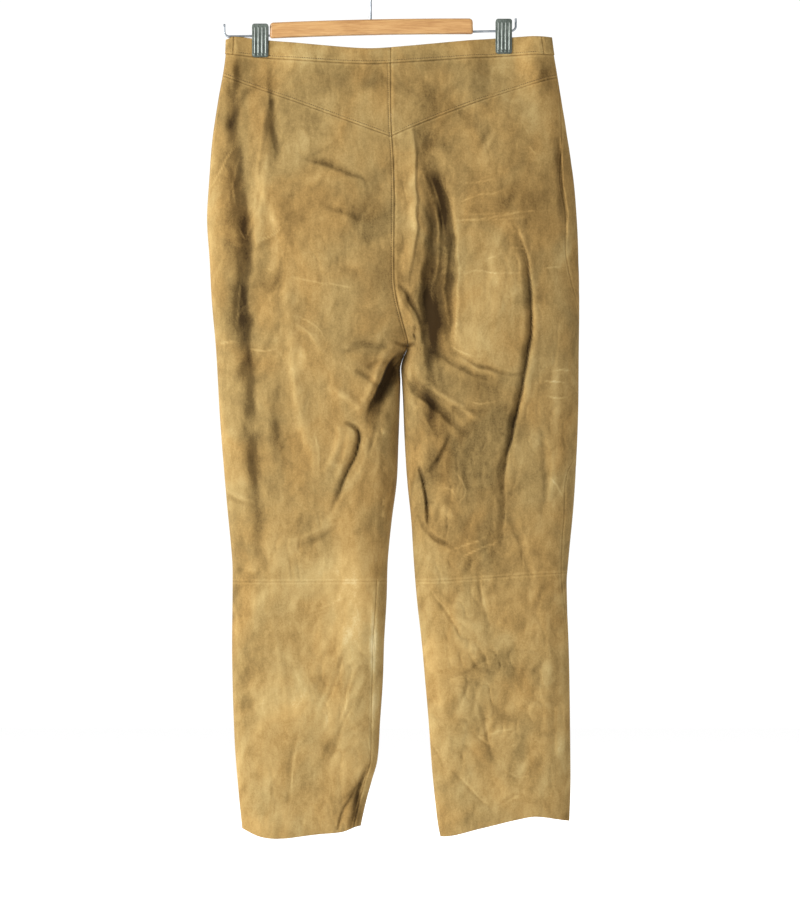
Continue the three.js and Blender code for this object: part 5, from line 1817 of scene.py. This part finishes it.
def metal_material(name, dark, light, roughness, worn_and_highlight=False):
    """Steel, lighter on its raised ribs and dimples: rubbed wear and a painted highlight."""
    shader = Shader(name)
    cloudy = shader.noise(shader.place((1, 1, 1)), 160, 3, 0.6)
    scratches = shader.noise(shader.place((1, 1, 12)), 320, 3, 0.6)
    colour = shader.ramp(cloudy, (0.35, dark), (0.65, light))
    rough = shader.math("MULTIPLY_ADD", scratches, 0.22, roughness)
    if worn_and_highlight:
        share = shader.math("MULTIPLY", shader.math("POWER", shader.stored("worn_and_highlight"), 4.0), 0.34)
        colour = shader.mix(share, colour, (0.8, 0.84, 0.8, 1))
    shader.set(Base_Color=colour, Metallic=1.0, Roughness=rough)
    shader.bump(scratches, 0.15, 0.0002)
    return shader.material


def horn_material():
    shader = Shader("horn")
    swirl = shader.noise(shader.place((1, 1, 2)), 120, 4, 0.6, 1.6)
    colour = shader.ramp(
        swirl,
        (0.35, (0.05, 0.026, 0.012)),
        (0.55, (0.16, 0.085, 0.04)),
        (0.75, (0.34, 0.2, 0.1)),
    )
    shader.set(Base_Color=colour, Roughness=0.32, Coat_Weight=0.3)
    shader.bump(swirl, 0.08, 0.0003)
    return shader.material


suede = suede_material()
thread_brown = thread_material()
wood = wood_material()
clip_metal = metal_material("clip_steel", (0.075, 0.09, 0.078), (0.13, 0.15, 0.132), 0.34, worn_and_highlight=True)
wire_metal = metal_material("wire_steel", (0.26, 0.29, 0.32), (0.42, 0.45, 0.48), 0.26)
horn = horn_material()


def dress(piece, material, slot, *nodes):
    """Gives a piece its material and its place on the part, and hides the nodes that it stands for."""
    piece.data.materials.append(material)
    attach(piece, "root")
    if nodes:
        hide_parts(*nodes)


for node, piece in panels.items():
    dress(piece, suede, "suede", node)
for piece in stitches:
    dress(piece, thread_brown, "suede")
dress(thread, thread_brown, "suede")
dress(button, horn, "horn", "waistband_button")
dress(bar, wood, "wood", "hanger_bar")
dress(hook, wire_metal, "steel", "hanger_hook")
for side, wire in wires.items():
    dress(wire, wire_metal, "steel", f"hanger_wire_{side}")
for node, piece in clip_pieces.items():
    dress(piece, clip_metal, "steel", node)


# Floor, light and surroundings, in metres
FLOOR_HALF = 6.0
FLOOR_HEIGHT = -1.32
LIGHT_AIM = (0.03, 0, -0.6)
SURROUNDINGS_STRENGTH = 0.6
BACKDROP_STRENGTH = 1.05


def add_floor():
    mesh = bpy.data.meshes.new("floor")
    corners = [(x * FLOOR_HALF, y * FLOOR_HALF, 0) for x, y in ((-1, -1), (1, -1), (1, 1), (-1, 1))]
    mesh.from_pydata(corners, [], [(0, 1, 2, 3)])
    floor = bpy.data.objects.new("floor", mesh)
    floor.location = (0, 0, FLOOR_HEIGHT)
    bpy.context.scene.collection.objects.link(floor)
    shader = Shader("floor")
    shader.set(Base_Color=(0.9, 0.9, 0.9, 1), Roughness=0.9, Specular_IOR_Level=0.1,
               Emission_Color=(1, 1, 1, 1), Emission_Strength=0.42)
    mesh.materials.append(shader.material)


def add_light(name, place, size, power):
    """A soft box of a width and height at a place, turned to the middle of the part."""
    data = bpy.data.lights.new(name, "AREA")
    data.shape = "RECTANGLE"
    data.size, data.size_y = size
    data.energy = power
    light = bpy.data.objects.new(name, data)
    light.location = place
    away = np.array(place) - np.array(LIGHT_AIM)
    yaw = math.atan2(away[0], -away[1])
    pitch = math.atan2(math.hypot(away[0], away[1]), away[2])
    light.rotation_euler = (pitch, 0, yaw)
    bpy.context.scene.collection.objects.link(light)


def add_world():
    """White all round, brighter where the camera sees it than where it lights the part."""
    world = bpy.data.worlds.new("studio")
    bpy.context.scene.world = world
    world.use_nodes = True
    background = world.node_tree.nodes["Background"]
    background.inputs["Color"].default_value = (1, 1, 1, 1)
    lit = world.node_tree.nodes.new("ShaderNodeLightPath")
    strength = world.node_tree.nodes.new("ShaderNodeMix")
    strength.inputs["A"].default_value = SURROUNDINGS_STRENGTH
    strength.inputs["B"].default_value = BACKDROP_STRENGTH
    world.node_tree.links.new(lit.outputs["Is Camera Ray"], strength.inputs["Factor"])
    world.node_tree.links.new(strength.outputs["Result"], background.inputs["Strength"])


add_floor()
add_world()
add_light("key", (-2.9, -2.3, 0.5), (1.2, 1.8), 178)
add_light("fill", (2.4, -2.8, -0.4), (1.8, 2.2), 9)
add_light("front", (1.6, 3.2, 0.2), (1.8, 2.2), 60)
add_light("rim", (-2.2, 1.5, -0.3), (0.8, 2.0), 40)
bpy.context.scene.view_settings.view_transform = "Standard"
